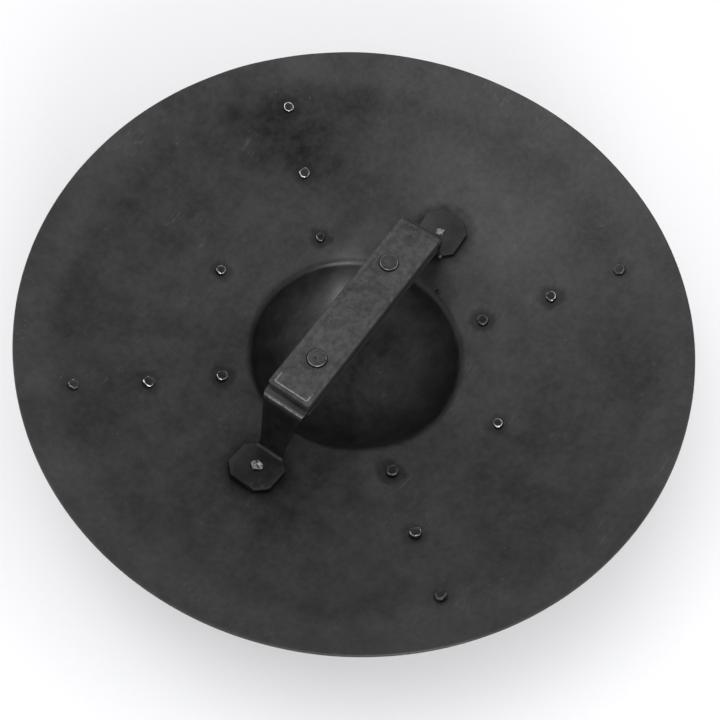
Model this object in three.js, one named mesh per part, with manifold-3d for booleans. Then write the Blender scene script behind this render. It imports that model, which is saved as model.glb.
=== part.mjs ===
// A round buckler: a small hand shield of blackened sheet steel, dished towards its bearer, with a
// domed boss beaten out of the middle and a bridge handle riveted across the back.
// Millimetres, +Z up. The shield lies on the flat spot of its boss with the handle on top, the
// handle runs along X, and the origin is under the middle of the boss.

import * as THREE from 'three';
import { mergeVertices } from 'three/addons/utils/BufferGeometryUtils.js';
import Module from 'manifold-3d';

const wasm = await Module();
wasm.setup();

// ---------------------------------------------------------------- driving dimensions

const CLEARANCE = 0.3; // between pieces that touch

const SHEET = 1.6; // thickness of the plate's steel
const RIM_RADIUS = 180; // outside edge of the disc
const DISH_DEPTH = 48; // from the rim down to where the dish would bottom out
const BOSS_DEPTH = 38; // from there down to the flat inside the boss
const BOSS_RADIUS = 61; // of the hollow's own sphere
const BOSS_FLAT = 13; // radius of the flat spot that the shield lies on
const SHOULDER = 6; // bend radius where the boss leaves the dish

const ROW_ANGLES = [-40.2, 50, 138.9, 229.9]; // four rows of rivets, placed by hand
const ROW_RADII = [75.4, 114.6, 152.4]; // three rivets in each row
const CROSS_ANGLES = [93.2, 274.1]; // single rivets to either side of the handle
const CROSS_RADIUS = 89.8;
const FOOT_RADIUS = 90; // where the handle's rivets go through the plate
const FOOT_DRIFT = 0.7; // degrees that both are off the X axis, to the same side

const RIVET = { head: 5.6, headHeight: 2.3, shank: 2.1, end: 3, endHeight: 1.9, bevel: 0.7 };
const FOOT_RIVET = { head: 5.6, headHeight: 2.3, shank: 2.1, end: 3.3, endHeight: 1.1, bevel: 0.6 };

const STRAP = 2.4; // thickness of the handle's flat bar
const STRAP_WIDTH = 25.4;
const STRAP_ABOVE_RIM = 0.5; // middle of the bar above the rim
const STRAP_BEND = 3; // bend radius at the middle of the bar
const LEG_TOP = 65; // where the legs turn down from the grip
const FOOT_LENGTH = 26;
const FOOT_WIDTH = 27;
const FOOT_CORNER = 6; // cut off each corner of a foot
const FOOT_NECK = 14.5; // width of a leg where it meets its foot
const NECK_FILLET = 2.5;

const PAD_LENGTH = 123.4;
const PAD_WIDTH = 25.6;
const PAD_THICKNESS = 4.2;
const PAD_EDGE = 0.7; // rounding of the leather's cut edges
const PAD_CORNER = 1.8;
const GRIP_RIVET_PLACES = [[33, 2], [-36.4, 0]]; // along and across the grip, from its middle
const GRIP_RIVET = { head: 5, headHeight: 1.4, bevel: 0.35, shank: 2.1 };
const GRIP_RIVET_SINK = 1.2; // how far its head is let into the leather

const DISC_SEGMENTS = 60;
const RIVET_SEGMENTS = 10;
const HOLE_SEGMENTS = 12;

// ---------------------------------------------------------------- worked out from those

const DISH_RADIUS = (RIM_RADIUS ** 2 + DISH_DEPTH ** 2) / (2 * DISH_DEPTH);
const DISH_FLOOR = SHEET + BOSS_DEPTH;
const DISH_CENTRE = DISH_FLOOR + DISH_RADIUS;
const RIM_HEIGHT = DISH_FLOOR + DISH_DEPTH;
const BOSS_CENTRE = Math.sqrt((BOSS_RADIUS + SHEET) ** 2 - BOSS_FLAT ** 2);
const STRAP_HEIGHT = RIM_HEIGHT + STRAP_ABOVE_RIM;
const FOOT_SLOPE = Math.asin(FOOT_RADIUS / DISH_RADIUS);
const FOOT_REACH = Math.hypot(FOOT_LENGTH / 2, FOOT_WIDTH / 2 - FOOT_CORNER);
const FOOT_GAP = FOOT_REACH ** 2 / (2 * DISH_RADIUS) + CLEARANCE; // under the middle of a flat foot
const HANDLE_SHIFT = FOOT_RADIUS * Math.sin(THREE.MathUtils.degToRad(FOOT_DRIFT));
const HOLE_RADIUS = (RIVET.shank + CLEARANCE) / Math.cos(Math.PI / HOLE_SEGMENTS);

// ---------------------------------------------------------------- finishes

const BLACKENED_SHEET = { color: 0x3d3d3f, roughness: 0.45, metalness: 0.85 };
const BLACKENED_BAR = { color: 0x37383a, roughness: 0.4, metalness: 0.85 };
const WORN_STEEL = { color: 0x5a5a5c, roughness: 0.35, metalness: 0.9 };
const BLACK_LEATHER = { color: 0x2a2a2b, roughness: 0.7, metalness: 0 };

// ---------------------------------------------------------------- joining and cutting

// A closed geometry as a solid; triangles that close up to a line at a lathe's axis are dropped.
function toSolid(geometry) {
  const bare = geometry.clone();
  bare.deleteAttribute('normal');
  bare.deleteAttribute('uv');
  const merged = mergeVertices(bare, 1e-4);
  const corners = merged.index.array;
  const triangles = [];
  for (let i = 0; i < corners.length; i += 3) {
    const [a, b, c] = corners.slice(i, i + 3);
    if (a !== b && b !== c && c !== a) {
      triangles.push(a, b, c);
    }
  }
  return new wasm.Manifold(
    new wasm.Mesh({
      numProp: 3,
      vertProperties: new Float32Array(merged.attributes.position.array),
      triVerts: new Uint32Array(triangles),
    }),
  );
}

function toGeometry(solid) {
  const mesh = solid.getMesh();
  const geometry = new THREE.BufferGeometry();
  geometry.setAttribute('position', new THREE.BufferAttribute(new Float32Array(mesh.vertProperties), 3));
  geometry.setIndex(new THREE.BufferAttribute(new Uint32Array(mesh.triVerts), 1));
  geometry.computeVertexNormals();
  return geometry;
}

function subtractAll(solid, cutters) {
  return cutters.reduce((left, cutter) => left.subtract(toSolid(cutter)), solid);
}

function namedMesh(name, geometry, finish) {
  const mesh = new THREE.Mesh(geometry, new THREE.MeshStandardMaterial(finish));
  mesh.name = name;
  return mesh;
}

// ---------------------------------------------------------------- the dished plate

// Points along a circle about (0, centre), from one angle to another, measured up from straight down.
function dishArc(centre, radius, from, to, steps) {
  const points = [];
  for (let i = 0; i <= steps; i += 1) {
    const angle = from + ((to - from) * i) / steps;
    points.push(new THREE.Vector2(radius * Math.sin(angle), centre - radius * Math.cos(angle)));
  }
  return points;
}

// The shoulder is a circle on the front side of the sheet that touches both the boss and the dish.
function shoulderCentre() {
  const toDish = DISH_RADIUS + SHOULDER;
  const toBoss = BOSS_RADIUS + SHOULDER;
  const apart = DISH_CENTRE - BOSS_CENTRE;
  const below = (toDish ** 2 - toBoss ** 2 + apart ** 2) / (2 * apart);
  return new THREE.Vector2(Math.sqrt(toDish ** 2 - below ** 2), DISH_CENTRE - below);
}

// One face of the sheet, from the axis to the rim: depth 0 is the back, depth SHEET the front.
function sheetFace(depth) {
  const middle = shoulderCentre();
  const dishAngle = Math.atan2(middle.x, DISH_CENTRE - middle.y);
  const bossAngle = Math.atan2(middle.x, BOSS_CENTRE - middle.y);
  const flatAngle = Math.acos((BOSS_CENTRE - SHEET + depth) / (BOSS_RADIUS + depth));
  const rimAngle = Math.asin(RIM_RADIUS / (DISH_RADIUS + SHEET));
  const bend = SHOULDER - depth;
  const shoulder = [];
  const shoulderSteps = 3;
  for (let i = 1; i < shoulderSteps; i += 1) {
    const angle = bossAngle + ((dishAngle - bossAngle) * i) / shoulderSteps;
    shoulder.push(new THREE.Vector2(middle.x - bend * Math.sin(angle), middle.y + bend * Math.cos(angle)));
  }
  return [
    new THREE.Vector2(0, SHEET - depth),
    ...dishArc(BOSS_CENTRE, BOSS_RADIUS + depth, flatAngle, bossAngle, 7),
    ...shoulder,
    ...dishArc(DISH_CENTRE, DISH_RADIUS + depth, dishAngle, rimAngle, 5),
  ];
}

// Puts something on the back of the plate, its own Z axis square to the sheet.
function seatOnPlate(object, degrees, radius) {
  const slope = Math.asin(radius / DISH_RADIUS);
  const turn = THREE.MathUtils.degToRad(degrees);
  object.position.set(
    radius * Math.cos(turn),
    radius * Math.sin(turn),
    DISH_CENTRE - DISH_RADIUS * Math.cos(slope),
  );
  object.rotation.set(0, -slope, turn, 'ZYX');
  object.updateMatrix();
  return object;
}

function drillOnPlate(degrees, radius) {
  const drill = new THREE.CylinderGeometry(HOLE_RADIUS, HOLE_RADIUS, 6 * SHEET, HOLE_SEGMENTS);
  drill.rotateX(Math.PI / 2);
  return drill.applyMatrix4(seatOnPlate(new THREE.Object3D(), degrees, radius).matrix);
}

function rivetPlaces() {
  const places = [];
  ROW_ANGLES.forEach((degrees, row) => {
    ROW_RADII.forEach((radius, step) => {
      places.push({ name: `row_${row + 1}_rivet_${step + 1}`, degrees, radius, form: RIVET });
    });
  });
  CROSS_ANGLES.forEach((degrees, side) => {
    places.push({ name: `side_rivet_${side + 1}`, degrees, radius: CROSS_RADIUS, form: RIVET });
  });
  return places;
}

function footPlaces() {
  return [FOOT_DRIFT, 180 - FOOT_DRIFT].map((degrees, side) => ({
    name: `foot_rivet_${side + 1}`,
    degrees,
    radius: FOOT_RADIUS,
    form: FOOT_RIVET,
  }));
}

function makePlate() {
  const section = [...sheetFace(SHEET), ...sheetFace(0).reverse()];
  const disc = new THREE.LatheGeometry(section, DISC_SEGMENTS).rotateX(Math.PI / 2);
  const holes = [...rivetPlaces(), ...footPlaces()].map((place) => drillOnPlate(place.degrees, place.radius));
  return namedMesh('shield_plate', toGeometry(subtractAll(toSolid(disc), holes)), BLACKENED_SHEET);
}

// ---------------------------------------------------------------- rivets through the plate

// A domed head on the front of the plate and a hammered end on the back, `grip` apart.
function rivetGeometry(form, grip) {
  const under = -SHEET - CLEARANCE;
  const over = grip + CLEARANCE;
  const domeSteps = 2;
  const profile = [];
  for (let i = 0; i < domeSteps; i += 1) {
    const angle = (Math.PI / 2) * (i / domeSteps);
    profile.push(new THREE.Vector2(form.head * Math.sin(angle), under - form.headHeight * Math.cos(angle)));
  }
  profile.push(new THREE.Vector2(form.head, under));
  profile.push(new THREE.Vector2(form.shank, under));
  profile.push(new THREE.Vector2(form.shank, over));
  profile.push(new THREE.Vector2(form.end, over));
  profile.push(new THREE.Vector2(form.end, over + form.endHeight - form.bevel));
  profile.push(new THREE.Vector2(form.end - form.bevel, over + form.endHeight));
  profile.push(new THREE.Vector2(0, over + form.endHeight));
  return new THREE.LatheGeometry(profile, RIVET_SEGMENTS).rotateX(Math.PI / 2);
}

function makePlateRivets() {
  return rivetPlaces().map((place) => {
    const rivet = namedMesh(place.name, rivetGeometry(place.form, 0), WORN_STEEL);
    return seatOnPlate(rivet, place.degrees, place.radius);
  });
}

// ---------------------------------------------------------------- the bridge handle

// A point on the middle line of a foot, which lies square to its rivet, so far out from the rivet.
function footPoint(outwards) {
  const reach = DISH_RADIUS - FOOT_GAP - STRAP / 2;
  const middle = new THREE.Vector2(reach * Math.sin(FOOT_SLOPE), DISH_CENTRE - reach * Math.cos(FOOT_SLOPE));
  return middle.add(new THREE.Vector2(Math.cos(FOOT_SLOPE), Math.sin(FOOT_SLOPE)).multiplyScalar(outwards));
}

// Rounds the corners of a bent line, and gives points on it with the direction square to it.
function bentLine(corners, bend, steps) {
  const stations = [];
  corners.forEach((corner, i) => {
    const before = corners[Math.max(i - 1, 0)];
    const after = corners[Math.min(i + 1, corners.length - 1)];
    const into = corner.clone().sub(before).normalize();
    const away = after.clone().sub(corner).normalize();
    if (i === 0 || i === corners.length - 1) {
      const along = i === 0 ? away : into;
      stations.push({ point: corner, normal: new THREE.Vector2(-along.y, along.x) });
      return;
    }
    const turn = Math.atan2(into.cross(away), into.dot(away));
    const side = Math.sign(turn);
    const square = new THREE.Vector2(-into.y, into.x);
    const start = corner.clone().addScaledVector(into, -bend * Math.tan(Math.abs(turn) / 2));
    const middle = start.addScaledVector(square, side * bend);
    for (let k = 0; k <= steps; k += 1) {
      const normal = square.clone().rotateAround(new THREE.Vector2(), (turn * k) / steps);
      stations.push({ point: middle.clone().addScaledVector(normal, -side * bend), normal });
    }
  });
  return stations;
}

// The bar from the side: foot, leg, grip, leg, foot.
function handleSide() {
  const half = [footPoint(FOOT_LENGTH / 2), footPoint(-FOOT_LENGTH / 2), new THREE.Vector2(LEG_TOP, STRAP_HEIGHT)];
  const left = half.map((point) => new THREE.Vector2(-point.x, point.y));
  const stations = bentLine([...left, ...half.reverse()], STRAP_BEND, 4);
  const upper = stations.map(({ point, normal }) => point.clone().addScaledVector(normal, STRAP / 2));
  const lower = stations.map(({ point, normal }) => point.clone().addScaledVector(normal, -STRAP / 2));
  return new THREE.Shape([...lower, ...upper.reverse()]);
}

// The bar from above: eight-sided feet, legs that narrow towards them, and a parallel grip.
function handlePlan() {
  const crease = footPoint(-FOOT_LENGTH / 2).x;
  const end = footPoint(FOOT_LENGTH / 2).x;
  const quarter = [
    [end, FOOT_WIDTH / 2 - FOOT_CORNER],
    [end - FOOT_CORNER, FOOT_WIDTH / 2],
    [crease + FOOT_CORNER, FOOT_WIDTH / 2],
    [crease, FOOT_NECK / 2],
    [crease - NECK_FILLET, FOOT_NECK / 2 + 0.4],
    [LEG_TOP - 1, STRAP_WIDTH / 2],
  ];
  const rightSide = [...quarter.map(([x, y]) => [x, -y]).reverse(), ...quarter];
  const leftSide = rightSide.map(([x, y]) => [-x, -y]);
  return new THREE.Shape([...rightSide, ...leftSide].map(([x, y]) => new THREE.Vector2(x, y)));
}

function extrudeUp(shape, from, to) {
  return new THREE.ExtrudeGeometry(shape, { depth: to - from, bevelEnabled: false }).translate(0, 0, from);
}

function drillThroughGrip([along, across], radius, from, to) {
  const drill = new THREE.CylinderGeometry(radius, radius, to - from, HOLE_SEGMENTS);
  return drill.rotateX(Math.PI / 2).translate(along, HANDLE_SHIFT + across, (from + to) / 2);
}

function makeHandle() {
  const margin = 5;
  const side = new THREE.ExtrudeGeometry(handleSide(), { depth: FOOT_WIDTH + margin, bevelEnabled: false });
  side.rotateX(Math.PI / 2).translate(0, (FOOT_WIDTH + margin) / 2 + HANDLE_SHIFT, 0);
  const plan = extrudeUp(handlePlan(), 0, STRAP_HEIGHT + margin).translate(0, HANDLE_SHIFT, 0);
  const footHoles = footPlaces().map((place) => drillOnPlate(place.degrees, place.radius));
  const gripHoles = GRIP_RIVET_PLACES.map((place) =>
    drillThroughGrip(place, HOLE_RADIUS, STRAP_HEIGHT - STRAP, STRAP_HEIGHT + STRAP),
  );
  const blank = toSolid(side).intersect(toSolid(plan));
  return namedMesh('handle_bar', toGeometry(subtractAll(blank, [...footHoles, ...gripHoles])), BLACKENED_BAR);
}

function makeFootRivets() {
  return footPlaces().map((place) => {
    const rivet = namedMesh(place.name, rivetGeometry(place.form, FOOT_GAP + STRAP), WORN_STEEL);
    return seatOnPlate(rivet, place.degrees, place.radius);
  });
}

// ---------------------------------------------------------------- the leather grip

function padOutline() {
  const x = PAD_LENGTH / 2 - PAD_EDGE;
  const y = PAD_WIDTH / 2 - PAD_EDGE;
  const r = PAD_CORNER - PAD_EDGE;
  const outline = new THREE.Shape();
  outline.absarc(x - r, y - r, r, 0, Math.PI / 2);
  outline.absarc(-x + r, y - r, r, Math.PI / 2, Math.PI);
  outline.absarc(-x + r, -y + r, r, Math.PI, 1.5 * Math.PI);
  outline.absarc(x - r, -y + r, r, 1.5 * Math.PI, 2 * Math.PI);
  outline.closePath();
  return outline;
}

// A strip of thick leather with softened edges; the rivets' heads are let into its outer side.
function makePad(name, bottom, outerFaceUp) {
  const block = new THREE.ExtrudeGeometry(padOutline(), {
    depth: PAD_THICKNESS - 2 * PAD_EDGE,
    bevelThickness: PAD_EDGE,
    bevelSize: PAD_EDGE,
    bevelSegments: 2,
    curveSegments: 3,
  }).translate(0, HANDLE_SHIFT, bottom + PAD_EDGE);
  const top = bottom + PAD_THICKNESS;
  const headRadius = GRIP_RIVET.head + CLEARANCE;
  const cuts = GRIP_RIVET_PLACES.flatMap((place) => [
    drillThroughGrip(place, HOLE_RADIUS, bottom - 1, top + 1),
    outerFaceUp
      ? drillThroughGrip(place, headRadius, top - GRIP_RIVET_SINK, top + 1)
      : drillThroughGrip(place, headRadius, bottom - 1, bottom + GRIP_RIVET_SINK),
  ]);
  return namedMesh(name, toGeometry(subtractAll(toSolid(block), cuts)), BLACK_LEATHER);
}

// A flat head let into each leather, joined by a shank through the bar.
function gripRivetGeometry(seat) {
  const { head, headHeight, bevel, shank } = GRIP_RIVET;
  const half = [
    [0, -seat - headHeight],
    [head - bevel, -seat - headHeight],
    [head, -seat - headHeight + bevel],
    [head, -seat],
    [shank, -seat],
  ];
  const section = [...half, ...half.map(([r, z]) => [r, -z]).reverse()];
  const profile = section.map(([r, z]) => new THREE.Vector2(r, z));
  return new THREE.LatheGeometry(profile, HOLE_SEGMENTS).rotateX(Math.PI / 2);
}

function makeGrip() {
  const padSeat = STRAP / 2 + CLEARANCE;
  const headSeat = padSeat + PAD_THICKNESS - GRIP_RIVET_SINK + CLEARANCE;
  const upper = makePad('grip_leather_upper', STRAP_HEIGHT + padSeat, true);
  const lower = makePad('grip_leather_lower', STRAP_HEIGHT - padSeat - PAD_THICKNESS, false);
  const rivets = GRIP_RIVET_PLACES.map(([along, across], i) => {
    const rivet = namedMesh(`grip_rivet_${i + 1}`, gripRivetGeometry(headSeat), WORN_STEEL);
    rivet.position.set(along, HANDLE_SHIFT + across, STRAP_HEIGHT);
    return rivet;
  });
  return [upper, lower, ...rivets];
}

// ---------------------------------------------------------------- the whole shield

const buckler = new THREE.Group();
buckler.add(makePlate(), ...makePlateRivets(), makeHandle(), ...makeFootRivets(), ...makeGrip());

export default buckler;
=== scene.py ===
"""A round buckler of blackened steel, lying on its boss with the padded handle on top.

The shield's plate, its rivets, the handle bar and the two grip leathers are modelled around the
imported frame. Lengths are in metres unless a name says otherwise, and X runs along the handle.
"""

import logging
import math
from collections.abc import Callable, Sequence
from dataclasses import dataclass, field
from enum import Enum

import bpy
import numpy as np
from mathutils import Matrix, Vector


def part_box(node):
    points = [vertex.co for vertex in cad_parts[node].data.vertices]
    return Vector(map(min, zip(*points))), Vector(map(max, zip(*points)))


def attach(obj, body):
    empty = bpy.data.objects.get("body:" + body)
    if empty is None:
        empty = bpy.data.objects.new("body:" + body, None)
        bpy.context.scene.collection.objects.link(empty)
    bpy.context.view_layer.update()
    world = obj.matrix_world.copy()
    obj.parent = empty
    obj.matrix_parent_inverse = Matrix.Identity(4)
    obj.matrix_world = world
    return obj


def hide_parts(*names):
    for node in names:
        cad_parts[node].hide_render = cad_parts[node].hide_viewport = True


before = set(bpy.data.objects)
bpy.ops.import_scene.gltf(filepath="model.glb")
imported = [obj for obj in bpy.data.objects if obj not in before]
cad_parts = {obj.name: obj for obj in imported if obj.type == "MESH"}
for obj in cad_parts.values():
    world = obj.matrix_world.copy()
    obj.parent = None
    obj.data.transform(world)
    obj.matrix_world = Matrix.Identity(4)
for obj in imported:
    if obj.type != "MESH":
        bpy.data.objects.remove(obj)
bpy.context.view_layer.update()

BODY = "root"
MM = 0.001
log = logging.getLogger("buckler")

CLEARANCE = 0.3 * MM  # between pieces that touch
SLIVER = 0.02 * MM  # keeps hidden faces that lie on each other apart
LATTICE_FACTORS = (374761393, 668265263, 1440662683)
SEED_FACTOR = 1013904223

Node = bpy.types.Node
Socket = bpy.types.NodeSocket
Faces = list[tuple[int, ...]]
Outline = list[tuple[float, float]]
Grid = tuple[np.ndarray, np.ndarray]


# ---------------------------------------------------------------------------------------------
# sizes shared by the pieces
# ---------------------------------------------------------------------------------------------


@dataclass(frozen=True)
class SheetForm:
    """The dished sheet with its boss: spheres for the dish and the boss, and a rounded shoulder.

    Attributes:
        thickness: of the steel.
        rim_radius: outside edge of the disc.
        dish_depth: from the rim down to where the dish would bottom out.
        boss_depth: from there down to the flat inside the boss.
        boss_radius: of the hollow's own sphere.
        boss_flat: radius of the flat spot that the shield lies on.
        shoulder: bend radius where the boss leaves the dish.
    """

    thickness: float = 1.6 * MM
    rim_radius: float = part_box("shield_plate")[1].x
    dish_depth: float = 48 * MM
    boss_depth: float = 38 * MM
    boss_radius: float = 61 * MM
    boss_flat: float = 13 * MM
    shoulder: float = 6 * MM

    @property
    def dish_radius(self) -> float:
        """Radius of the sphere that the back of the dish lies on."""
        return (self.rim_radius**2 + self.dish_depth**2) / (2 * self.dish_depth)

    @property
    def dish_centre(self) -> float:
        """Height of that sphere's centre."""
        return self.thickness + self.boss_depth + self.dish_radius

    @property
    def boss_centre(self) -> float:
        """Height of the centre of the boss's sphere."""
        return math.sqrt((self.boss_radius + self.thickness) ** 2 - self.boss_flat**2)

    @property
    def shoulder_centre(self) -> tuple[float, float]:
        """Radius and height of the middle of the bend between the boss and the dish."""
        to_dish = self.dish_radius + self.shoulder
        to_boss = self.boss_radius + self.shoulder
        apart = self.dish_centre - self.boss_centre
        below = (to_dish**2 - to_boss**2 + apart**2) / (2 * apart)
        return math.sqrt(to_dish**2 - below**2), self.dish_centre - below

    def back_height(self, radius: float) -> float:
        """Height of the back of the dish at a radius."""
        return self.dish_centre - math.sqrt(self.dish_radius**2 - radius**2)


SHEET = SheetForm()


@dataclass(frozen=True)
class Seat:
    """A rivet's place on the back of the plate.

    Attributes:
        point: where its axis meets the back of the plate.
        axis: direction out of the back of the plate.
    """

    point: Vector
    axis: Vector


def seat_of(node: str) -> Seat:
    """Finds where a rivet sits from its node in the frame.

    Args:
        node: the rivet's node.

    Returns:
        Its seat on the back of the plate.
    """
    low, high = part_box(node)
    centre = Vector((0, 0, SHEET.dish_centre))
    axis = (centre - (low + high) / 2).normalized()
    return Seat(centre - axis * SHEET.dish_radius, axis)


def nodes_named(prefix: str) -> list[str]:
    """Names of the frame's nodes that start with a prefix, in order.

    Args:
        prefix: start of the name.

    Returns:
        The sorted names.
    """
    return sorted(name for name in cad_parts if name.startswith(prefix))


PLATE_RIVETS = nodes_named("row_") + nodes_named("side_rivet")
FOOT_RIVETS = nodes_named("foot_rivet")
GRIP_RIVETS = nodes_named("grip_rivet")


@dataclass(frozen=True)
class Peen:
    """How one rivet's end came out under the hammer, how it has aged, and how dark the plate is painted
    round it.

    Attributes:
        size: its width against the usual one.
        shine: how much of its edge is worn bright, 0 to 1.
        soot: how dark the plate is made round it, 0 to 1: a ring of painted contact shade with staining
            beyond it round a rivet, painted shade round a foot; it also darkens the rivet itself.
    """

    size: float
    shine: float
    soot: float


PEENS = {
    "row_1_rivet_1": Peen(1.08, 0.25, 1.0),
    "row_1_rivet_2": Peen(1.04, 0.65, 0.9),
    "row_1_rivet_3": Peen(1.08, 0.05, 0.3),
    "row_2_rivet_1": Peen(0.9, 0.35, 1.0),
    "row_2_rivet_2": Peen(1.0, 0.85, 0.6),
    "row_2_rivet_3": Peen(1.02, 1.0, 0.6),
    "row_3_rivet_1": Peen(1.02, 0.45, 0.85),
    "row_3_rivet_2": Peen(1.02, 0.5, 0.65),
    "row_3_rivet_3": Peen(1.0, 0.35, 0.15),
    "row_4_rivet_1": Peen(1.12, 0.2, 1.0),
    "row_4_rivet_2": Peen(1.08, 0.3, 0.6),
    "row_4_rivet_3": Peen(1.12, 0.05, 0.25),
    "side_rivet_1": Peen(0.95, 0.7, 0.75),
    "side_rivet_2": Peen(0.92, 0.9, 0.55),
    "foot_rivet_1": Peen(0.66, 0.8, 1.0),
    "foot_rivet_2": Peen(1.0, 0.5, 0.9),
}


# ---------------------------------------------------------------------------------------------
# mesh helpers
# ---------------------------------------------------------------------------------------------


def smoothstep(value: np.ndarray | float) -> np.ndarray | float:
    """Eases 0 to 1 in and out, and holds the ends.

    Args:
        value: where between 0 and 1.

    Returns:
        The eased value.
    """
    held = np.clip(value, 0.0, 1.0)
    return held * held * (3.0 - 2.0 * held)


def lattice(cells: np.ndarray, seed: int) -> np.ndarray:
    """A fixed random value between -1 and 1 for each cell of a grid.

    Args:
        cells: whole numbers, three for each cell.
        seed: picks one pattern out of many.

    Returns:
        One value for each cell.
    """
    mixed = seed * SEED_FACTOR
    for axis, factor in enumerate(LATTICE_FACTORS):
        mixed = mixed + cells[..., axis] * factor
    mixed &= 0xFFFFFFFF
    mixed = ((mixed ^ (mixed >> 13)) * 1274126177) & 0xFFFFFFFF
    mixed = ((mixed ^ (mixed >> 15)) * 739982445) & 0xFFFFFFFF
    return ((mixed ^ (mixed >> 16)) & 0xFFFFFF) / 0x7FFFFF - 1.0


def drift(points: np.ndarray, size: float, seed: int, octaves: int = 2) -> np.ndarray:
    """Smooth noise between about -1 and 1 at each point.

    Args:
        points: an N by 3 array of places.
        size: distance over which the noise changes.
        seed: moves the pattern, so that no two uses look alike.
        octaves: how many finer layers are added.

    Returns:
        N values.
    """
    total = np.zeros(len(points))
    strength = 1.0
    for octave in range(octaves):
        grid = points / size * 2.0**octave + 0.37 * seed
        base = np.floor(grid).astype(np.int64)
        share = smoothstep(grid - base)
        for corner in ((i, j, k) for i in (0, 1) for j in (0, 1) for k in (0, 1)):
            pull = np.prod(np.where(corner, share, 1.0 - share), axis=1)
            total += strength * pull * lattice(base + np.array(corner), seed + octave)
        strength *= 0.5
    return total


def make_object(
    name: str,
    points: np.ndarray,
    faces: Sequence[Sequence[int]],
    attributes: dict[str, np.ndarray] | None = None,
    sharp_above: float = 180.0,
) -> bpy.types.Object:
    """Makes a smooth-shaded mesh object at the origin.

    Args:
        name: name of the piece.
        points: an N by 3 array of vertices.
        faces: corners of each face, turning so that the face points outwards.
        attributes: a value per vertex for each named attribute that its finish reads.
        sharp_above: edges that bend more than this many degrees stay sharp.

    Returns:
        The new object.
    """
    mesh = bpy.data.meshes.new(name)
    mesh.from_pydata([tuple(p) for p in points], [], faces)
    for key, values in (attributes or {}).items():
        layer = mesh.attributes.new(key, "FLOAT", "POINT")
        layer.data.foreach_set("value", np.asarray(values, dtype=np.float32))
    mesh.shade_smooth()
    if sharp_above < 180.0:
        mesh.set_sharp_from_angle(angle=math.radians(sharp_above))
    mesh.validate()
    made = bpy.data.objects.new(name, mesh)
    bpy.context.scene.collection.objects.link(made)
    return made


def lathe(profile: Sequence[tuple[float, float]], segments: int) -> tuple[np.ndarray, Faces]:
    """Turns a profile round the Z axis into a closed body.

    Args:
        profile: radius and height from the axis at the bottom, outwards and back to the axis on top.
        segments: how many steps go round.

    Returns:
        The vertices, with the two poles last, and the faces.
    """
    rings = profile[1:-1]
    turns = np.linspace(0.0, 2.0 * math.pi, segments, endpoint=False)
    cos, sin = np.cos(turns), np.sin(turns)
    points = [np.column_stack((r * cos, r * sin, np.full(segments, z))) for r, z in rings]
    bottom = len(rings) * segments
    poles = np.array([[0.0, 0.0, profile[0][1]], [0.0, 0.0, profile[-1][1]]])
    faces: Faces = []
    for i in range(segments):
        j = (i + 1) % segments
        faces.append((bottom, j, i))
        last = (len(rings) - 1) * segments
        faces.append((bottom + 1, last + i, last + j))
        for ring in range(len(rings) - 1):
            base = ring * segments
            faces.append((base + i, base + j, base + segments + j, base + segments + i))
    return np.vstack([*points, poles]), faces


def finish_piece(
    piece: bpy.types.Object, material: bpy.types.Material, nodes: Sequence[str]
) -> None:
    """Dresses a piece and gives it its place in the frame.

    Args:
        piece: the finished piece.
        material: its finish.
        nodes: the frame's nodes that it stands for.
    """
    piece.data.materials.clear()
    piece.data.materials.append(material)
    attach(piece, BODY)
    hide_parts(*nodes)
    log.info("%s: %d faces, stands for %d nodes", piece.name, len(piece.data.polygons), len(nodes))


# ---------------------------------------------------------------------------------------------
# shader building blocks
# ---------------------------------------------------------------------------------------------


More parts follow.
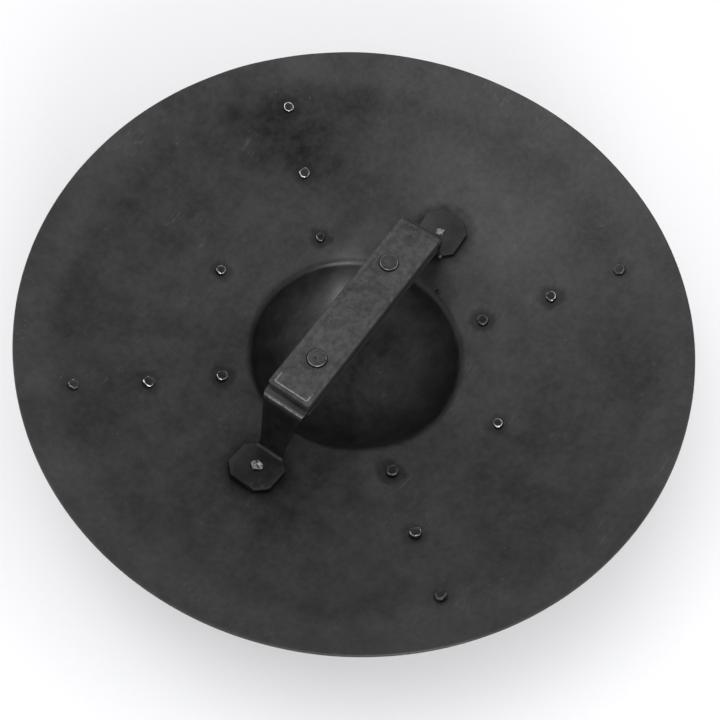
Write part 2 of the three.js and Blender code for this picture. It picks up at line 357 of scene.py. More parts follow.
@dataclass
class Bench:
    """A node tree being wired up.

    Attributes:
        tree: the tree that nodes are added to.
    """

    tree: bpy.types.NodeTree

    def add(self, kind: str, inputs: dict[str | int, object] | None = None, **settings: object) -> Node:
        """Adds a node.

        Args:
            kind: the node's type.
            inputs: values or sockets for its inputs, by name or number.
            **settings: the node's own settings.

        Returns:
            The new node.
        """
        node = self.tree.nodes.new(kind)
        for key, value in settings.items():
            setattr(node, key, value)
        for key, value in (inputs or {}).items():
            socket = node.inputs[key]
            if isinstance(value, Socket):
                self.tree.links.new(value, socket)
            else:
                socket.default_value = value
        return node

    def math(self, operation: str, first: object, second: object = 0.5) -> Socket:
        """Adds a Math node and returns its result.

        Args:
            operation: the node's operation.
            first: first value or socket.
            second: second value or socket.

        Returns:
            The result's socket.
        """
        return self.add("ShaderNodeMath", {0: first, 1: second}, operation=operation).outputs[0]

    def times(self, first: object, second: object) -> Socket:
        """Multiplies two values or sockets."""
        return self.math("MULTIPLY", first, second)

    def plus(self, first: object, second: object) -> Socket:
        """Adds two values or sockets."""
        return self.math("ADD", first, second)

    def distance(self, place: Socket, spot: tuple[float, float, float]) -> Socket:
        """Distance of a place from a fixed spot."""
        both = {0: place, 1: spot}
        return self.add("ShaderNodeVectorMath", both, operation="DISTANCE").outputs["Value"]

    def feed(self, value: Socket, node: Node, key: str) -> None:
        """Links a socket to a node's input."""
        self.tree.links.new(value, node.inputs[key])

    def spread(
        self, value: object, low: float, high: float, to_low: float = 0.0, to_high: float = 1.0
    ) -> Socket:
        """Maps a range of values to another range with soft ends.

        Args:
            value: value or socket to map.
            low: where the range starts.
            high: where it ends.
            to_low: what low becomes.
            to_high: what high becomes.

        Returns:
            The result's socket.
        """
        inputs = {"Value": value, "From Min": low, "From Max": high, "To Min": to_low, "To Max": to_high}
        return self.add("ShaderNodeMapRange", inputs, interpolation_type="SMOOTHSTEP").outputs[0]

    def blend(self, amount: object, first: object, second: object) -> Socket:
        """Mixes two colours.

        Args:
            amount: 0 for the first colour, 1 for the second.
            first: a colour or socket.
            second: a colour or socket.

        Returns:
            The mixed colour's socket.
        """
        node = self.add("ShaderNodeMix", data_type="RGBA", clamp_factor=False)
        for key, value in ((0, amount), (6, first), (7, second)):
            if isinstance(value, Socket):
                self.tree.links.new(value, node.inputs[key])
            else:
                node.inputs[key].default_value = value
        return node.outputs[2]

    def cloud(self, place: object, scale: float, detail: float = 3.0, rough: float = 0.55) -> Socket:
        """Adds fractal noise and returns its value.

        Args:
            place: where it is read.
            scale: repeats per metre.
            detail: number of finer layers.
            rough: strength of the finer layers.

        Returns:
            The noise's socket, about 0.5 on average.
        """
        inputs = {"Vector": place, "Scale": scale, "Detail": detail, "Roughness": rough}
        return self.add("ShaderNodeTexNoise", inputs).outputs[0]


def grey(value: float) -> tuple[float, float, float, float]:
    """A neutral colour.

    Args:
        value: its linear brightness.

    Returns:
        Red, green, blue and alpha.
    """
    return (value, value, value * 1.01, 1.0)


class SocketKind(Enum):
    """Kinds of socket on a shader group."""

    NUMBER = "NodeSocketFloat"
    VECTOR = "NodeSocketVector"


@dataclass
class Effect:
    """A shader node group that several finishes share.

    Attributes:
        name: the group's name.
        inputs: its inputs and their kinds.
        outputs: its outputs.
        wire: fills the tree from the group's input node and returns a socket for each output.
        group: the tree, once it has been built.
    """

    name: str
    inputs: dict[str, SocketKind]
    outputs: tuple[str, ...]
    wire: Callable[[Bench, Node], dict[str, Socket]]
    group: bpy.types.NodeTree | None = field(default=None, init=False)

    def build(self) -> bpy.types.NodeTree:
        """Builds the group the first time it is wanted.

        Returns:
            The group's tree.
        """
        if self.group is not None:
            return self.group
        self.group = bpy.data.node_groups.new(self.name, "ShaderNodeTree")
        for key, kind in self.inputs.items():
            self.group.interface.new_socket(key, in_out="INPUT", socket_type=kind.value)
        for key in self.outputs:
            self.group.interface.new_socket(key, in_out="OUTPUT", socket_type=SocketKind.NUMBER.value)
        bench = Bench(self.group)
        results = self.wire(bench, bench.add("NodeGroupInput"))
        bench.add("NodeGroupOutput", results)
        return self.group

    def use(self, bench: Bench, inputs: dict[str, object]) -> Node:
        """Places the group in a material.

        Args:
            bench: the material's tree.
            inputs: values or sockets for the group's inputs.

        Returns:
            The group node.
        """
        return bench.add("ShaderNodeGroup", inputs, node_tree=self.build())


def wire_oxide(bench: Bench, given: Node) -> dict[str, Socket]:
    """Cloudy fire-blackened skin: soft blotches, finer mottling and a fine tooth.

    Args:
        bench: the group's tree.
        given: the group's input node, with Place and Size.

    Returns:
        Blotches, Mottle, Flecks and Tooth, each from 0 to 1.
    """
    inputs = {0: given.outputs["Place"], 1: given.outputs["Size"]}
    at = bench.add("ShaderNodeVectorMath", inputs, operation="DIVIDE").outputs[0]
    return {
        "Blotches": bench.spread(bench.cloud(at, 1.0, 3.0, 0.5), 0.3, 0.7),
        "Mottle": bench.spread(bench.cloud(at, 4.6, 4.0, 0.6), 0.3, 0.7),
        "Flecks": bench.spread(bench.cloud(at, 17.0, 3.0, 0.6), 0.3, 0.7),
        "Tooth": bench.cloud(at, 60.0, 2.0, 0.6),
    }


OXIDE = Effect(
    "oxide_skin",
    {"Place": SocketKind.VECTOR, "Size": SocketKind.VECTOR},
    ("Blotches", "Mottle", "Flecks", "Tooth"),
    wire_oxide,
)


def wire_wear(bench: Bench, given: Node) -> dict[str, Socket]:
    """Bright wear on edges, broken up so that it comes and goes along them.

    Args:
        bench: the group's tree.
        given: the group's input node, with Place, Edge and Reach.

    Returns:
        Worn, from 0 to 1.
    """
    breaks = bench.cloud(given.outputs["Place"], 420.0, 4.0, 0.65)
    wanted = bench.times(given.outputs["Edge"], given.outputs["Reach"])
    above = bench.math("SUBTRACT", bench.plus(wanted, breaks), 1.0)
    return {"Worn": bench.spread(above, 0.0, 0.16)}


WEAR = Effect(
    "edge_wear",
    {"Place": SocketKind.VECTOR, "Edge": SocketKind.NUMBER, "Reach": SocketKind.NUMBER},
    ("Worn",),
    wire_wear,
)


def wire_specks(bench: Bench, given: Node) -> dict[str, Socket]:
    """Small scattered specks, such as dust and pin-pricks of bare metal.

    Args:
        bench: the group's tree.
        given: the group's input node, with Place, Density per metre and Share of cells filled.

    Returns:
        Specks, from 0 to 1.
    """
    inputs = {"Vector": given.outputs["Place"], "Scale": given.outputs["Density"]}
    cells = bench.add("ShaderNodeTexVoronoi", inputs)
    dot = bench.spread(cells.outputs["Distance"], 0.10, 0.04)
    pick = bench.add("ShaderNodeSeparateColor", {0: cells.outputs["Color"]})
    chosen = bench.math("LESS_THAN", pick.outputs[0], given.outputs["Share"])
    return {"Specks": bench.times(dot, chosen)}


SPECKS = Effect(
    "fine_specks",
    {"Place": SocketKind.VECTOR, "Density": SocketKind.NUMBER, "Share": SocketKind.NUMBER},
    ("Specks",),
    wire_specks,
)


def wire_scratches(bench: Bench, given: Node) -> dict[str, Socket]:
    """Thin random scratches: the narrow crests of stretched noise.

    Args:
        bench: the group's tree.
        given: the group's input node, with Place and Width.

    Returns:
        Scratches, from 0 to 1.
    """
    total = None
    for turn, stretch in ((0.5, (30.0, 420.0, 200.0)), (-0.9, (26.0, 380.0, 200.0))):
        inputs = {"Vector": given.outputs["Place"], "Rotation": (0.0, 0.0, turn), "Scale": stretch}
        turned = bench.add("ShaderNodeMapping", inputs)
        wave = bench.cloud(turned.outputs[0], 1.0, 1.0, 0.4)
        crest = bench.math("ABSOLUTE", bench.math("SUBTRACT", wave, 0.5))
        line = bench.math("LESS_THAN", crest, given.outputs["Width"])
        patch = bench.spread(bench.cloud(given.outputs["Place"], 34.0 + 9.0 * turn, 2.0), 0.58, 0.68)
        mark = bench.times(line, patch)
        total = mark if total is None else bench.math("MAXIMUM", total, mark)
    return {"Scratches": total}


SCRATCHES = Effect(
    "hair_scratches",
    {"Place": SocketKind.VECTOR, "Width": SocketKind.NUMBER},
    ("Scratches",),
    wire_scratches,
)


@dataclass(frozen=True)
class Finish:
    """What every finish has.

    Attributes:
        name: the material's name.
        slot: the record's slot that it is meant to dress; it is not used.
    """

    name: str
    slot: str

    def start(self) -> tuple[bpy.types.Material, Bench, Node, Socket]:
        """Makes the material with a Principled shader.

        Returns:
            The material, its tree, the shader and the object-space place.
        """
        material = bpy.data.materials.new(self.name)
        material.use_nodes = True
        bench = Bench(material.node_tree)
        shader = material.node_tree.nodes["Principled BSDF"]
        place = bench.add("ShaderNodeTexCoord").outputs["Object"]
        return material, bench, shader, place

    @staticmethod
    def attribute(bench: Bench, name: str) -> Socket:
        """Reads a value stored on the mesh.

        Args:
            bench: the material's tree.
            name: the attribute.

        Returns:
            Its value's socket.
        """
        return bench.add("ShaderNodeAttribute", attribute_name=name).outputs["Fac"]

    @staticmethod
    def bump(bench: Bench, shader: Node, height: object, distance: float, strength: float) -> None:
        """Feeds a height into the shader's normal.

        Args:
            bench: the material's tree.
            shader: the Principled shader.
            height: the height's socket.
            distance: how tall 1 is, in metres.
            strength: how much of it shows.
        """
        node = bench.add("ShaderNodeBump", {"Height": height, "Distance": distance, "Strength": strength})
        bench.feed(node.outputs[0], shader, "Normal")


@dataclass(frozen=True)
class BlackenedSteel(Finish):
    """Fire-blackened, oiled steel.

    Attributes:
        dark: linear brightness of its darkest blotches.
        light: linear brightness of its lightest ones.
        worn: linear brightness of bare, worn edges, and of the painted highlight along the handle's bends.
        polished: linear brightness of what is rubbed smooth but not bare, and of the painted highlight along
            the handle's bends.
        blotch: distance across the blotches.
        rough: lowest and highest roughness.
        reach: how far wear spreads from the edges, 0 to 1.
        scratched: width of the scratches, 0 for none.
        scratch_depth: how bright the scratches are, 0 to 1.
        metallic: share of bare metal in the skin.
        dust: share of small specks that catch the light.
    """

    dark: float = 0.022
    light: float = 0.058
    worn: float = 0.3
    polished: float = 0.12
    blotch: float = 60 * MM
    rough: tuple[float, float] = (0.40, 0.50)
    reach: float = 0.6
    scratched: float = 0.0
    scratch_depth: float = 0.25
    metallic: float = 0.85
    dust: float = 0.05

    def build(self) -> bpy.types.Material:
        """Builds the material.

        Returns:
            The material.
        """
        material, bench, shader, place = self.start()
        skin = OXIDE.use(bench, {"Place": place, "Size": (self.blotch,) * 3}).outputs
        cloudy = bench.plus(bench.times(skin["Blotches"], 0.4), bench.times(skin["Mottle"], 0.35))
        cloudy = bench.plus(cloudy, bench.times(skin["Flecks"], 0.25))
        cloudy = bench.plus(self.rub(bench, place, cloudy), self.attribute(bench, "tone"))
        colour = bench.blend(cloudy, grey(self.dark), grey(self.light))
        polish = self.attribute(bench, "polish")
        # rubbed smooth, and on the handle's bends a painted highlight
        colour = bench.blend(polish, colour, grey(self.polished))
        soot = self.soot(bench, place)
        # darkened where the finish's mask says: painted shade in places, staining and dents in others
        colour = bench.blend(bench.times(soot, 0.9), colour, grey(self.dark * 0.22))
        dust = SPECKS.use(bench, {"Place": place, "Density": 190.0, "Share": self.dust}).outputs[0]
        colour = bench.blend(bench.times(dust, 0.35), colour, grey(self.worn * 0.7))
        edge = self.attribute(bench, "edge")
        worn = WEAR.use(bench, {"Place": place, "Edge": edge, "Reach": self.reach}).outputs[0]
        if self.scratched:
            lines = SCRATCHES.use(bench, {"Place": place, "Width": self.scratched}).outputs[0]
            worn = bench.math("MAXIMUM", worn, bench.times(lines, self.scratch_depth))
        colour = bench.blend(worn, colour, grey(self.worn))
        bench.feed(colour, shader, "Base Color")
        uneven = bench.plus(bench.times(skin["Mottle"], 0.7), bench.times(skin["Tooth"], 0.3))
        rough = bench.spread(uneven, 0.1, 0.9, *self.rough)
        rough = bench.math("SUBTRACT", rough, bench.times(worn, 0.12))
        rough = bench.math("SUBTRACT", rough, bench.times(polish, 0.2))
        bench.feed(rough, shader, "Roughness")
        shader.inputs["Metallic"].default_value = self.metallic
        height = bench.plus(skin["Mottle"], bench.times(skin["Tooth"], 0.4))
        self.bump(bench, shader, height, 0.06 * MM, 0.5)
        return material

    def rub(self, bench: Bench, place: Socket, cloudy: Socket) -> Socket:
        """Lightens what handling has rubbed; a plain bar has nothing of the kind.

        Args:
            bench: the material's tree.
            place: object-space place.
            cloudy: the mottling so far.

        Returns:
            The mottling.
        """
        return cloudy

    def soot(self, bench: Bench, place: Socket) -> Socket:
        """Where the skin is darkened, read from the mesh unless a finish knows better: painted shade in the
        middle of a rivet's end, and darker dents on a grip rivet.

        Args:
            bench: the material's tree.
            place: object-space place.

        Returns:
            The darkening, from 0 to 1.
        """
        return self.attribute(bench, "halo")


@dataclass(frozen=True)
class SootedSheet(BlackenedSteel):
    """The shield's sheet: rubbed inside the rim; round each rivet a ring of painted contact shade with
    staining beyond it, and round each foot painted shade.

    Attributes:
        band: extra brightness of the rubbed band.
        ring: reach of the ring of painted contact shade round a rivet.
        stain_and_shade: reach of the softer darkening beyond it: staining round a rivet, painted shade round
            a foot.
        nick: place of a small torn nick on the boss's shoulder.
        foot_reach: how much wider the marks round a foot are.
        foot_painted_shade: how dark the painted shade round a foot is, 0 to 1.
        rivet_stain: how dark the staining round any other rivet is, 0 to 1.
    """

    band: float = 0.35
    ring: float = 4.4 * MM
    stain_and_shade: float = 9.0 * MM
    nick: tuple[float, float] = (60 * MM, -17 * MM)
    foot_reach: float = 2.6
    foot_painted_shade: float = 0.85
    rivet_stain: float = 0.6

    def rub(self, bench: Bench, place: Socket, cloudy: Socket) -> Socket:
        """Lightens a band just inside the rim, where the sheet has been handled most.

        Args:
            bench: the material's tree.
            place: object-space place.
            cloudy: the mottling so far.

        Returns:
            The mottling with the band in it.
        """
        level = {0: place, 1: (1.0, 1.0, 0.0)}
        flat = bench.add("ShaderNodeVectorMath", level, operation="MULTIPLY").outputs[0]
        radius = bench.add("ShaderNodeVectorMath", {0: flat}, operation="LENGTH").outputs["Value"]
        wavy = bench.plus(radius, bench.times(bench.cloud(place, 14.0, 3.0), 24 * MM))
        start = SHEET.rim_radius - 8 * MM
        band = bench.spread(wavy, start - 6 * MM, start + 8 * MM)
        return bench.plus(cloudy, bench.times(band, self.band))

    def soot(self, bench: Bench, place: Socket) -> Socket:
        """Round every rivet and foot a ring of painted contact shade and, beyond it, a wider ragged
        darkening: staining round a rivet, painted shade round a foot; and the nick.

        Args:
            bench: the material's tree.
            place: object-space place.

        Returns:
            The darkening, from 0 to 1.
        """
        ragged = bench.times(bench.math("SUBTRACT", bench.cloud(place, 160.0, 3.0, 0.6), 0.5), 9 * MM)
        total = None
        for node in [*PLATE_RIVETS, *FOOT_RIVETS]:
            spot = tuple(seat_of(node).point)
            at_foot = node in FOOT_RIVETS
            wide = self.foot_reach if at_foot else PEENS[node].size
            away = bench.distance(place, spot)
            rough = bench.plus(away, ragged)
            deep = self.foot_painted_shade if at_foot else self.rivet_stain
            # painted contact shade: a dark ring at the foot of the rivet
            ring = bench.spread(away, self.ring * wide, 2.8 * MM * wide, 0.0, 0.15 + 0.75 * PEENS[node].soot)
            # wider ragged darkening: staining round a rivet, painted shade round a foot
            stain_and_shade = bench.spread(rough, self.stain_and_shade * wide, 4.5 * MM * wide, 0.0, deep * PEENS[node].soot)
            mark = bench.math("MAXIMUM", ring, stain_and_shade)
            total = mark if total is None else bench.math("MAXIMUM", total, mark)
        return bench.math("MAXIMUM", total, self.torn(bench, place))

    def torn(self, bench: Bench, place: Socket) -> Socket:
        """A nick a few millimetres across, with ragged arms.

        Args:
            bench: the material's tree.
            place: object-space place.

        Returns:
            The nick's darkness, from 0 to 1.
        """
        x, y = self.nick
        middle = (x, y, SHEET.back_height(math.hypot(x, y)))
        away = bench.distance(place, middle)
        arms = bench.times(bench.math("SUBTRACT", bench.cloud(place, 330.0, 2.0), 0.5), 22 * MM)
        return bench.spread(bench.plus(away, bench.math("ABSOLUTE", arms)), 3.2 * MM, 1.2 * MM)


@dataclass(frozen=True)
class BlackLeather(Finish):
    """Thick black leather with a fine pebbled grain, scuffed lighter on its high places, with painted glints
    scattered over it.

    Attributes:
        dark: linear brightness in the grain's hollows.
        light: linear brightness of the scuffed face.
        shine: linear brightness where the tooled line is burnished, and of the painted glints.
    """

    dark: float = 0.012
    light: float = 0.05
    shine: float = 0.2

    def build(self) -> bpy.types.Material:
        """Builds the material.

        Returns:
            The material.
        """
        material, bench, shader, place = self.start()
        patches = bench.spread(bench.cloud(place, 70.0, 4.0, 0.65), 0.3, 0.7)
        fibre = bench.spread(bench.cloud(place, 800.0, 4.0, 0.7), 0.35, 0.68)
        pits = self.attribute(bench, "pits")
        pebbles = bench.spread(bench.cloud(place, 260.0, 3.0, 0.65), 0.36, 0.64)
        tone = bench.plus(bench.times(patches, 0.4), bench.times(pebbles, 0.45))
        tone = bench.plus(tone, bench.times(fibre, 0.15))
        colour = bench.blend(tone, grey(self.light * 0.18), grey(self.light * 1.1))
        colour = bench.blend(bench.times(pits, 0.75), colour, grey(self.dark))
        # painted glints: small bright specks scattered over the grain
        painted_glints = SPECKS.use(bench, {"Place": place, "Density": 480.0, "Share": 0.22}).outputs[0]
        colour = bench.blend(bench.times(painted_glints, 0.5), colour, grey(self.shine))
        # the cut edge and the walls painted darker: partly the raw edge, partly painted shade on the walls
        # and over the rounded edge's highlight
        colour = bench.blend(bench.times(self.attribute(bench, "cut"), 0.6), colour, grey(self.dark))
        edge = self.attribute(bench, "edge")
        burnished = WEAR.use(bench, {"Place": place, "Edge": edge, "Reach": 0.9}).outputs[0]
        colour = bench.blend(burnished, colour, grey(self.shine))
        bench.feed(colour, shader, "Base Color")
        rough = bench.spread(tone, 0.0, 1.0, 0.66, 0.5)
        rough = bench.math("SUBTRACT", rough, bench.times(burnished, 0.15))
        bench.feed(rough, shader, "Roughness")
        self.bump(bench, shader, fibre, 0.15 * MM, 0.6)
        return material


@dataclass(frozen=True)
class Paper(Finish):
    """The studio's pale floor, with the faint tooth of background paper.

    Attributes:
        tone: linear brightness of the paper.
    """

    tone: float = 0.93

    def build(self) -> bpy.types.Material:
        """Builds the material.

        Returns:
            The material.
        """
        material, bench, shader, place = self.start()
        tooth = bench.cloud(place, 300.0, 3.0)
        colour = bench.blend(tooth, grey(self.tone * 0.985), grey(self.tone))
        bench.feed(colour, shader, "Base Color")
        shader.inputs["Roughness"].default_value = 0.9
        return material


# ---------------------------------------------------------------------------------------------
# the plate
# ---------------------------------------------------------------------------------------------


@dataclass(frozen=True)
class Cloud:
    """A soft patch of the sheet that is lighter or darker than the rest.

    Attributes:
        x: place along the handle.
        y: place across it.
        reach: how far it spreads.
        tone: how much lighter, or darker where it is below 0.
    """

    x: float
    y: float
    reach: float
    tone: float


@dataclass
class ShieldPlate:
    """The dished sheet with its boss, beaten by hand and cut round at the rim.

    Attributes:
        segments: steps round the disc.
        boss_steps: steps up the boss.
        shoulder_steps: steps round the shoulder.
        dish_steps: steps out along the dish.
        hammered: how far the planished surface wanders.
        shoulder_wander: how far the boss's opening strays from a circle.
        rim_soft: how far the filed rim is rounded.
        hollow: strength of the painted shade that darkens the bottom of the boss and, a third as strong, of
            the painted light that lightens its walls.
        clouds: the larger patches, lighter or darker than the rest; among them a painted highlight on the
            boss's upper inner wall and a painted shadow of the grip in the boss.
    """

    segments: int = 300
    boss_steps: int = 34
    shoulder_steps: int = 12
    dish_steps: int = 56
    hammered: float = 0.22 * MM
    shoulder_wander: float = 1.1 * MM
    rim_soft: float = 0.6 * MM
    hollow: float = 0.55
    clouds: tuple[Cloud, ...] = (
        Cloud(112 * MM, -39 * MM, 38 * MM, 0.3),
        Cloud(119 * MM, -4 * MM, 26 * MM, 0.15),
        Cloud(96 * MM, 9 * MM, 13 * MM, 0.4),
        Cloud(72 * MM, 34 * MM, 12 * MM, 0.3),
        Cloud(76 * MM, 16 * MM, 9 * MM, -0.5),
        Cloud(87 * MM, 103 * MM, 30 * MM, -0.45),
        Cloud(-102 * MM, -20 * MM, 22 * MM, -0.5),
        # painted highlight on the upper inner wall of the boss
        Cloud(46 * MM, 34 * MM, 13 * MM, 1.1),
        # painted shadow of the grip across the bottom of the boss
        Cloud(34 * MM, -2 * MM, 15 * MM, -0.4),
        Cloud(125 * MM, -21 * MM, 4 * MM, 0.3),
    )

    def face_profile(self, depth: float) -> Outline:
        """One face of the sheet, from the axis to the rim.

        Args:
            depth: 0 for the back, the sheet's thickness for the front.

        Returns:
            Radius and height of its points.
        """
        middle, middle_height = SHEET.shoulder_centre
        dish_angle = math.atan2(middle, SHEET.dish_centre - middle_height)
        boss_angle = math.atan2(middle, SHEET.boss_centre - middle_height)
        boss = SHEET.boss_radius + depth
        flat_angle = math.acos((SHEET.boss_centre - SHEET.thickness + depth) / boss)
        square_rim = math.asin(SHEET.rim_radius / (SHEET.dish_radius + SHEET.thickness))
        rim_angle = square_rim - self.rim_soft / SHEET.dish_radius
        points = [(0.0, SHEET.thickness - depth), (SHEET.boss_flat * 0.5, SHEET.thickness - depth)]
        for angle in np.linspace(flat_angle, boss_angle, self.boss_steps + 1):
            points.append((boss * math.sin(angle), SHEET.boss_centre - boss * math.cos(angle)))
        bend = SHEET.shoulder - depth
        for angle in np.linspace(boss_angle, dish_angle, self.shoulder_steps + 1)[1:-1]:
            points.append((middle - bend * math.sin(angle), middle_height + bend * math.cos(angle)))
        dish = SHEET.dish_radius + depth
        for angle in np.linspace(dish_angle, rim_angle, self.dish_steps + 1):
            points.append((dish * math.sin(angle), SHEET.dish_centre - dish * math.cos(angle)))
        return points

    def rim_profile(self, front_end: tuple[float, float], back_end: tuple[float, float]) -> Outline:
        """The cut edge, softened by filing.

        Args:
            front_end: where the front face ends.
            back_end: where the back face ends.

        Returns:
            Points between the two.
        """
        start, end = Vector(front_end), Vector(back_end)
        middle = (start + end) / 2
        across = (end - start) / 2
        out = Vector((across.y, -across.x)).normalized() * self.rim_soft
        points = []
        for angle in np.linspace(math.pi, 0.0, 8)[1:-1]:
            square = math.copysign(abs(math.cos(angle)) ** 0.5, math.cos(angle))
            point = middle + across * square + out * math.sin(angle) ** 0.5
            points.append((point.x, point.y))
        return points

    def beat(self, points: np.ndarray) -> np.ndarray:
        """Gives the turned shape the small unevenness of hand work.

        Args:
            points: the vertices.

        Returns:
            The moved vertices.
        """
        moved = points.copy()
        radius = np.hypot(points[:, 0], points[:, 1])
        flat = np.column_stack((points[:, :2], np.zeros(len(points))))
        direction = flat / np.maximum(radius, 1e-6)[:, None]
        opening = np.exp(-(((radius - SHEET.boss_radius) / (14 * MM)) ** 2))
        wander = drift(direction * 60 * MM, 42 * MM, 3) * self.shoulder_wander
        moved += direction * (wander * opening)[:, None]
        ease = smoothstep((radius - SHEET.boss_flat) / (12 * MM))
        beaten = drift(flat, 26 * MM, 1, 3) * self.hammered + drift(flat, 90 * MM, 2) * 2.0 * self.hammered
        moved[:, 2] += beaten * ease
        return moved

    def tone_values(self, points: np.ndarray, backs: np.ndarray) -> np.ndarray:
        """How much lighter or darker than the rest each vertex is.

        Args:
            points: the vertices.
            backs: 1 on the back of the sheet, 0 on its front.

        Returns:
            The change of tone.
        """
        ragged = 1.0 + 0.45 * drift(points, 16 * MM, 6, 3)
        total = np.zeros(len(points))
        for cloud in self.clouds:
            away = np.hypot(points[:, 0] - cloud.x, points[:, 1] - cloud.y) * ragged
            total += cloud.tone * np.exp(-((away / cloud.reach) ** 2))
        radius = np.hypot(points[:, 0], points[:, 1])
        # painted shade in the bottom of the boss and painted light on its walls, put into the colour
        wall = smoothstep((SHEET.boss_radius - radius) / (6 * MM))
        bottom = smoothstep((48 * MM - radius) / (26 * MM))
        return (total - self.hollow * (bottom - 0.3 * wall)) * backs

    def build(self) -> bpy.types.Object:
        """Builds the plate.

        Returns:
            The piece.
        """
        front = self.face_profile(SHEET.thickness)
        back = self.face_profile(0.0)
        profile = [*front, *self.rim_profile(front[-1], back[-1]), *reversed(back)]
        points, faces = lathe(profile, self.segments)
        radius = np.hypot(points[:, 0], points[:, 1])
        edge = smoothstep((radius - (SHEET.rim_radius - 1.6 * MM)) / (1.2 * MM)) * 0.3
        backs = (np.arange(len(points)) >= len(front) * self.segments).astype(float)
        tone = self.tone_values(points, backs)
        plate = make_object("plate", self.beat(points), faces, {"edge": edge, "tone": tone})
        finish = SootedSheet(
            "blackened_sheet", "blackened_sheet", reach=0.5, scratched=0.008, scratch_depth=0.08
        )
        finish_piece(plate, finish.build(), ["shield_plate"])
        return plate


# ---------------------------------------------------------------------------------------------
# rivets
# ---------------------------------------------------------------------------------------------


@dataclass(frozen=True)
class RivetForm:
    """One rivet: a domed head in front of the plate and a hammered end behind it.

    Attributes:
        name: what it is called.
        head: radius of the head.
        head_height: how far the head stands out.
        shank: radius of the shank.
        end: radius of the hammered end.
        end_height: how far that stands up.
        bevel: width of the end's worn edge.
        dish: how far the end's top is sunk in its middle.
        grip: thickness of what lies on the plate under the end.
        front: depth of the head's seat below the seat point.
        pit: strength of the painted shade in the middle of the end.
        bare: how bare the whole end is hammered, 0 to 1.
    """

    name: str
    head: float = 5.6 * MM
    head_height: float = 2.3 * MM
    shank: float = 2.1 * MM
    end: float = 3.0 * MM
    end_height: float = 2.1 * MM
    bevel: float = 0.75 * MM
    dish: float = 0.25 * MM
    grip: float = 0.0
    front: float = SHEET.thickness
    pit: float = 0.45
    bare: float = 0.0

    def profile(self) -> Outline:
        """Radius and height of the rivet's outline, head down.

        Returns:
            The points from the middle of the head round to the middle of the end.
        """
        points = []
        for angle in np.linspace(0.0, math.pi / 2, 8):
            points.append((self.head * math.sin(angle), -self.front - self.head_height * math.cos(angle)))
        points.append((self.shank, -self.front + SLIVER))
        points.append((self.shank, self.grip - SLIVER))
        top = self.grip + self.end_height
        points.append((self.end * 0.94, self.grip))
        points.append((self.end, self.grip + 0.35 * (self.end_height - self.bevel)))
        for angle in np.linspace(0.0, math.pi / 2, 6):
            across = self.end - self.bevel * (1 - math.cos(angle))
            points.append((across, top - self.bevel * (1 - math.sin(angle))))
        rim = self.end - self.bevel
        points.append((rim * 0.86, top - self.dish * 0.3))
        points.append((rim * 0.6, top - self.dish * 0.8))
        points.append((0.0, top - self.dish))
        return points

    def build(self, segments: int = 28) -> bpy.types.Object:
        """Builds one rivet, its own Z axis out of the back of the plate.

        Args:
            segments: steps round it.

        Returns:
            A loose form to be placed.
        """
        points, faces = lathe(self.profile(), segments)
        radius = np.hypot(points[:, 0], points[:, 1])
        top = self.grip + self.end_height
        ring = 1.0 - np.abs(radius - (self.end - 0.45 * self.bevel)) / (0.9 * self.bevel)
        high = smoothstep((points[:, 2] - (top - 1.6 * self.bevel)) / self.bevel)
        edge = np.clip(ring, 0.0, 1.0) * high
        # painted shade: the middle of the end is darkened in colour
        halo = self.pit * (1.0 - smoothstep(radius / (self.end - self.bevel) - 0.15)) * high
        worn = np.maximum(edge, self.bare * high)
        values = {"edge": worn, "halo": halo, "polish": edge * (1.0 - self.bare)}
        return make_object(self.name, points, faces, values, sharp_above=50.0)


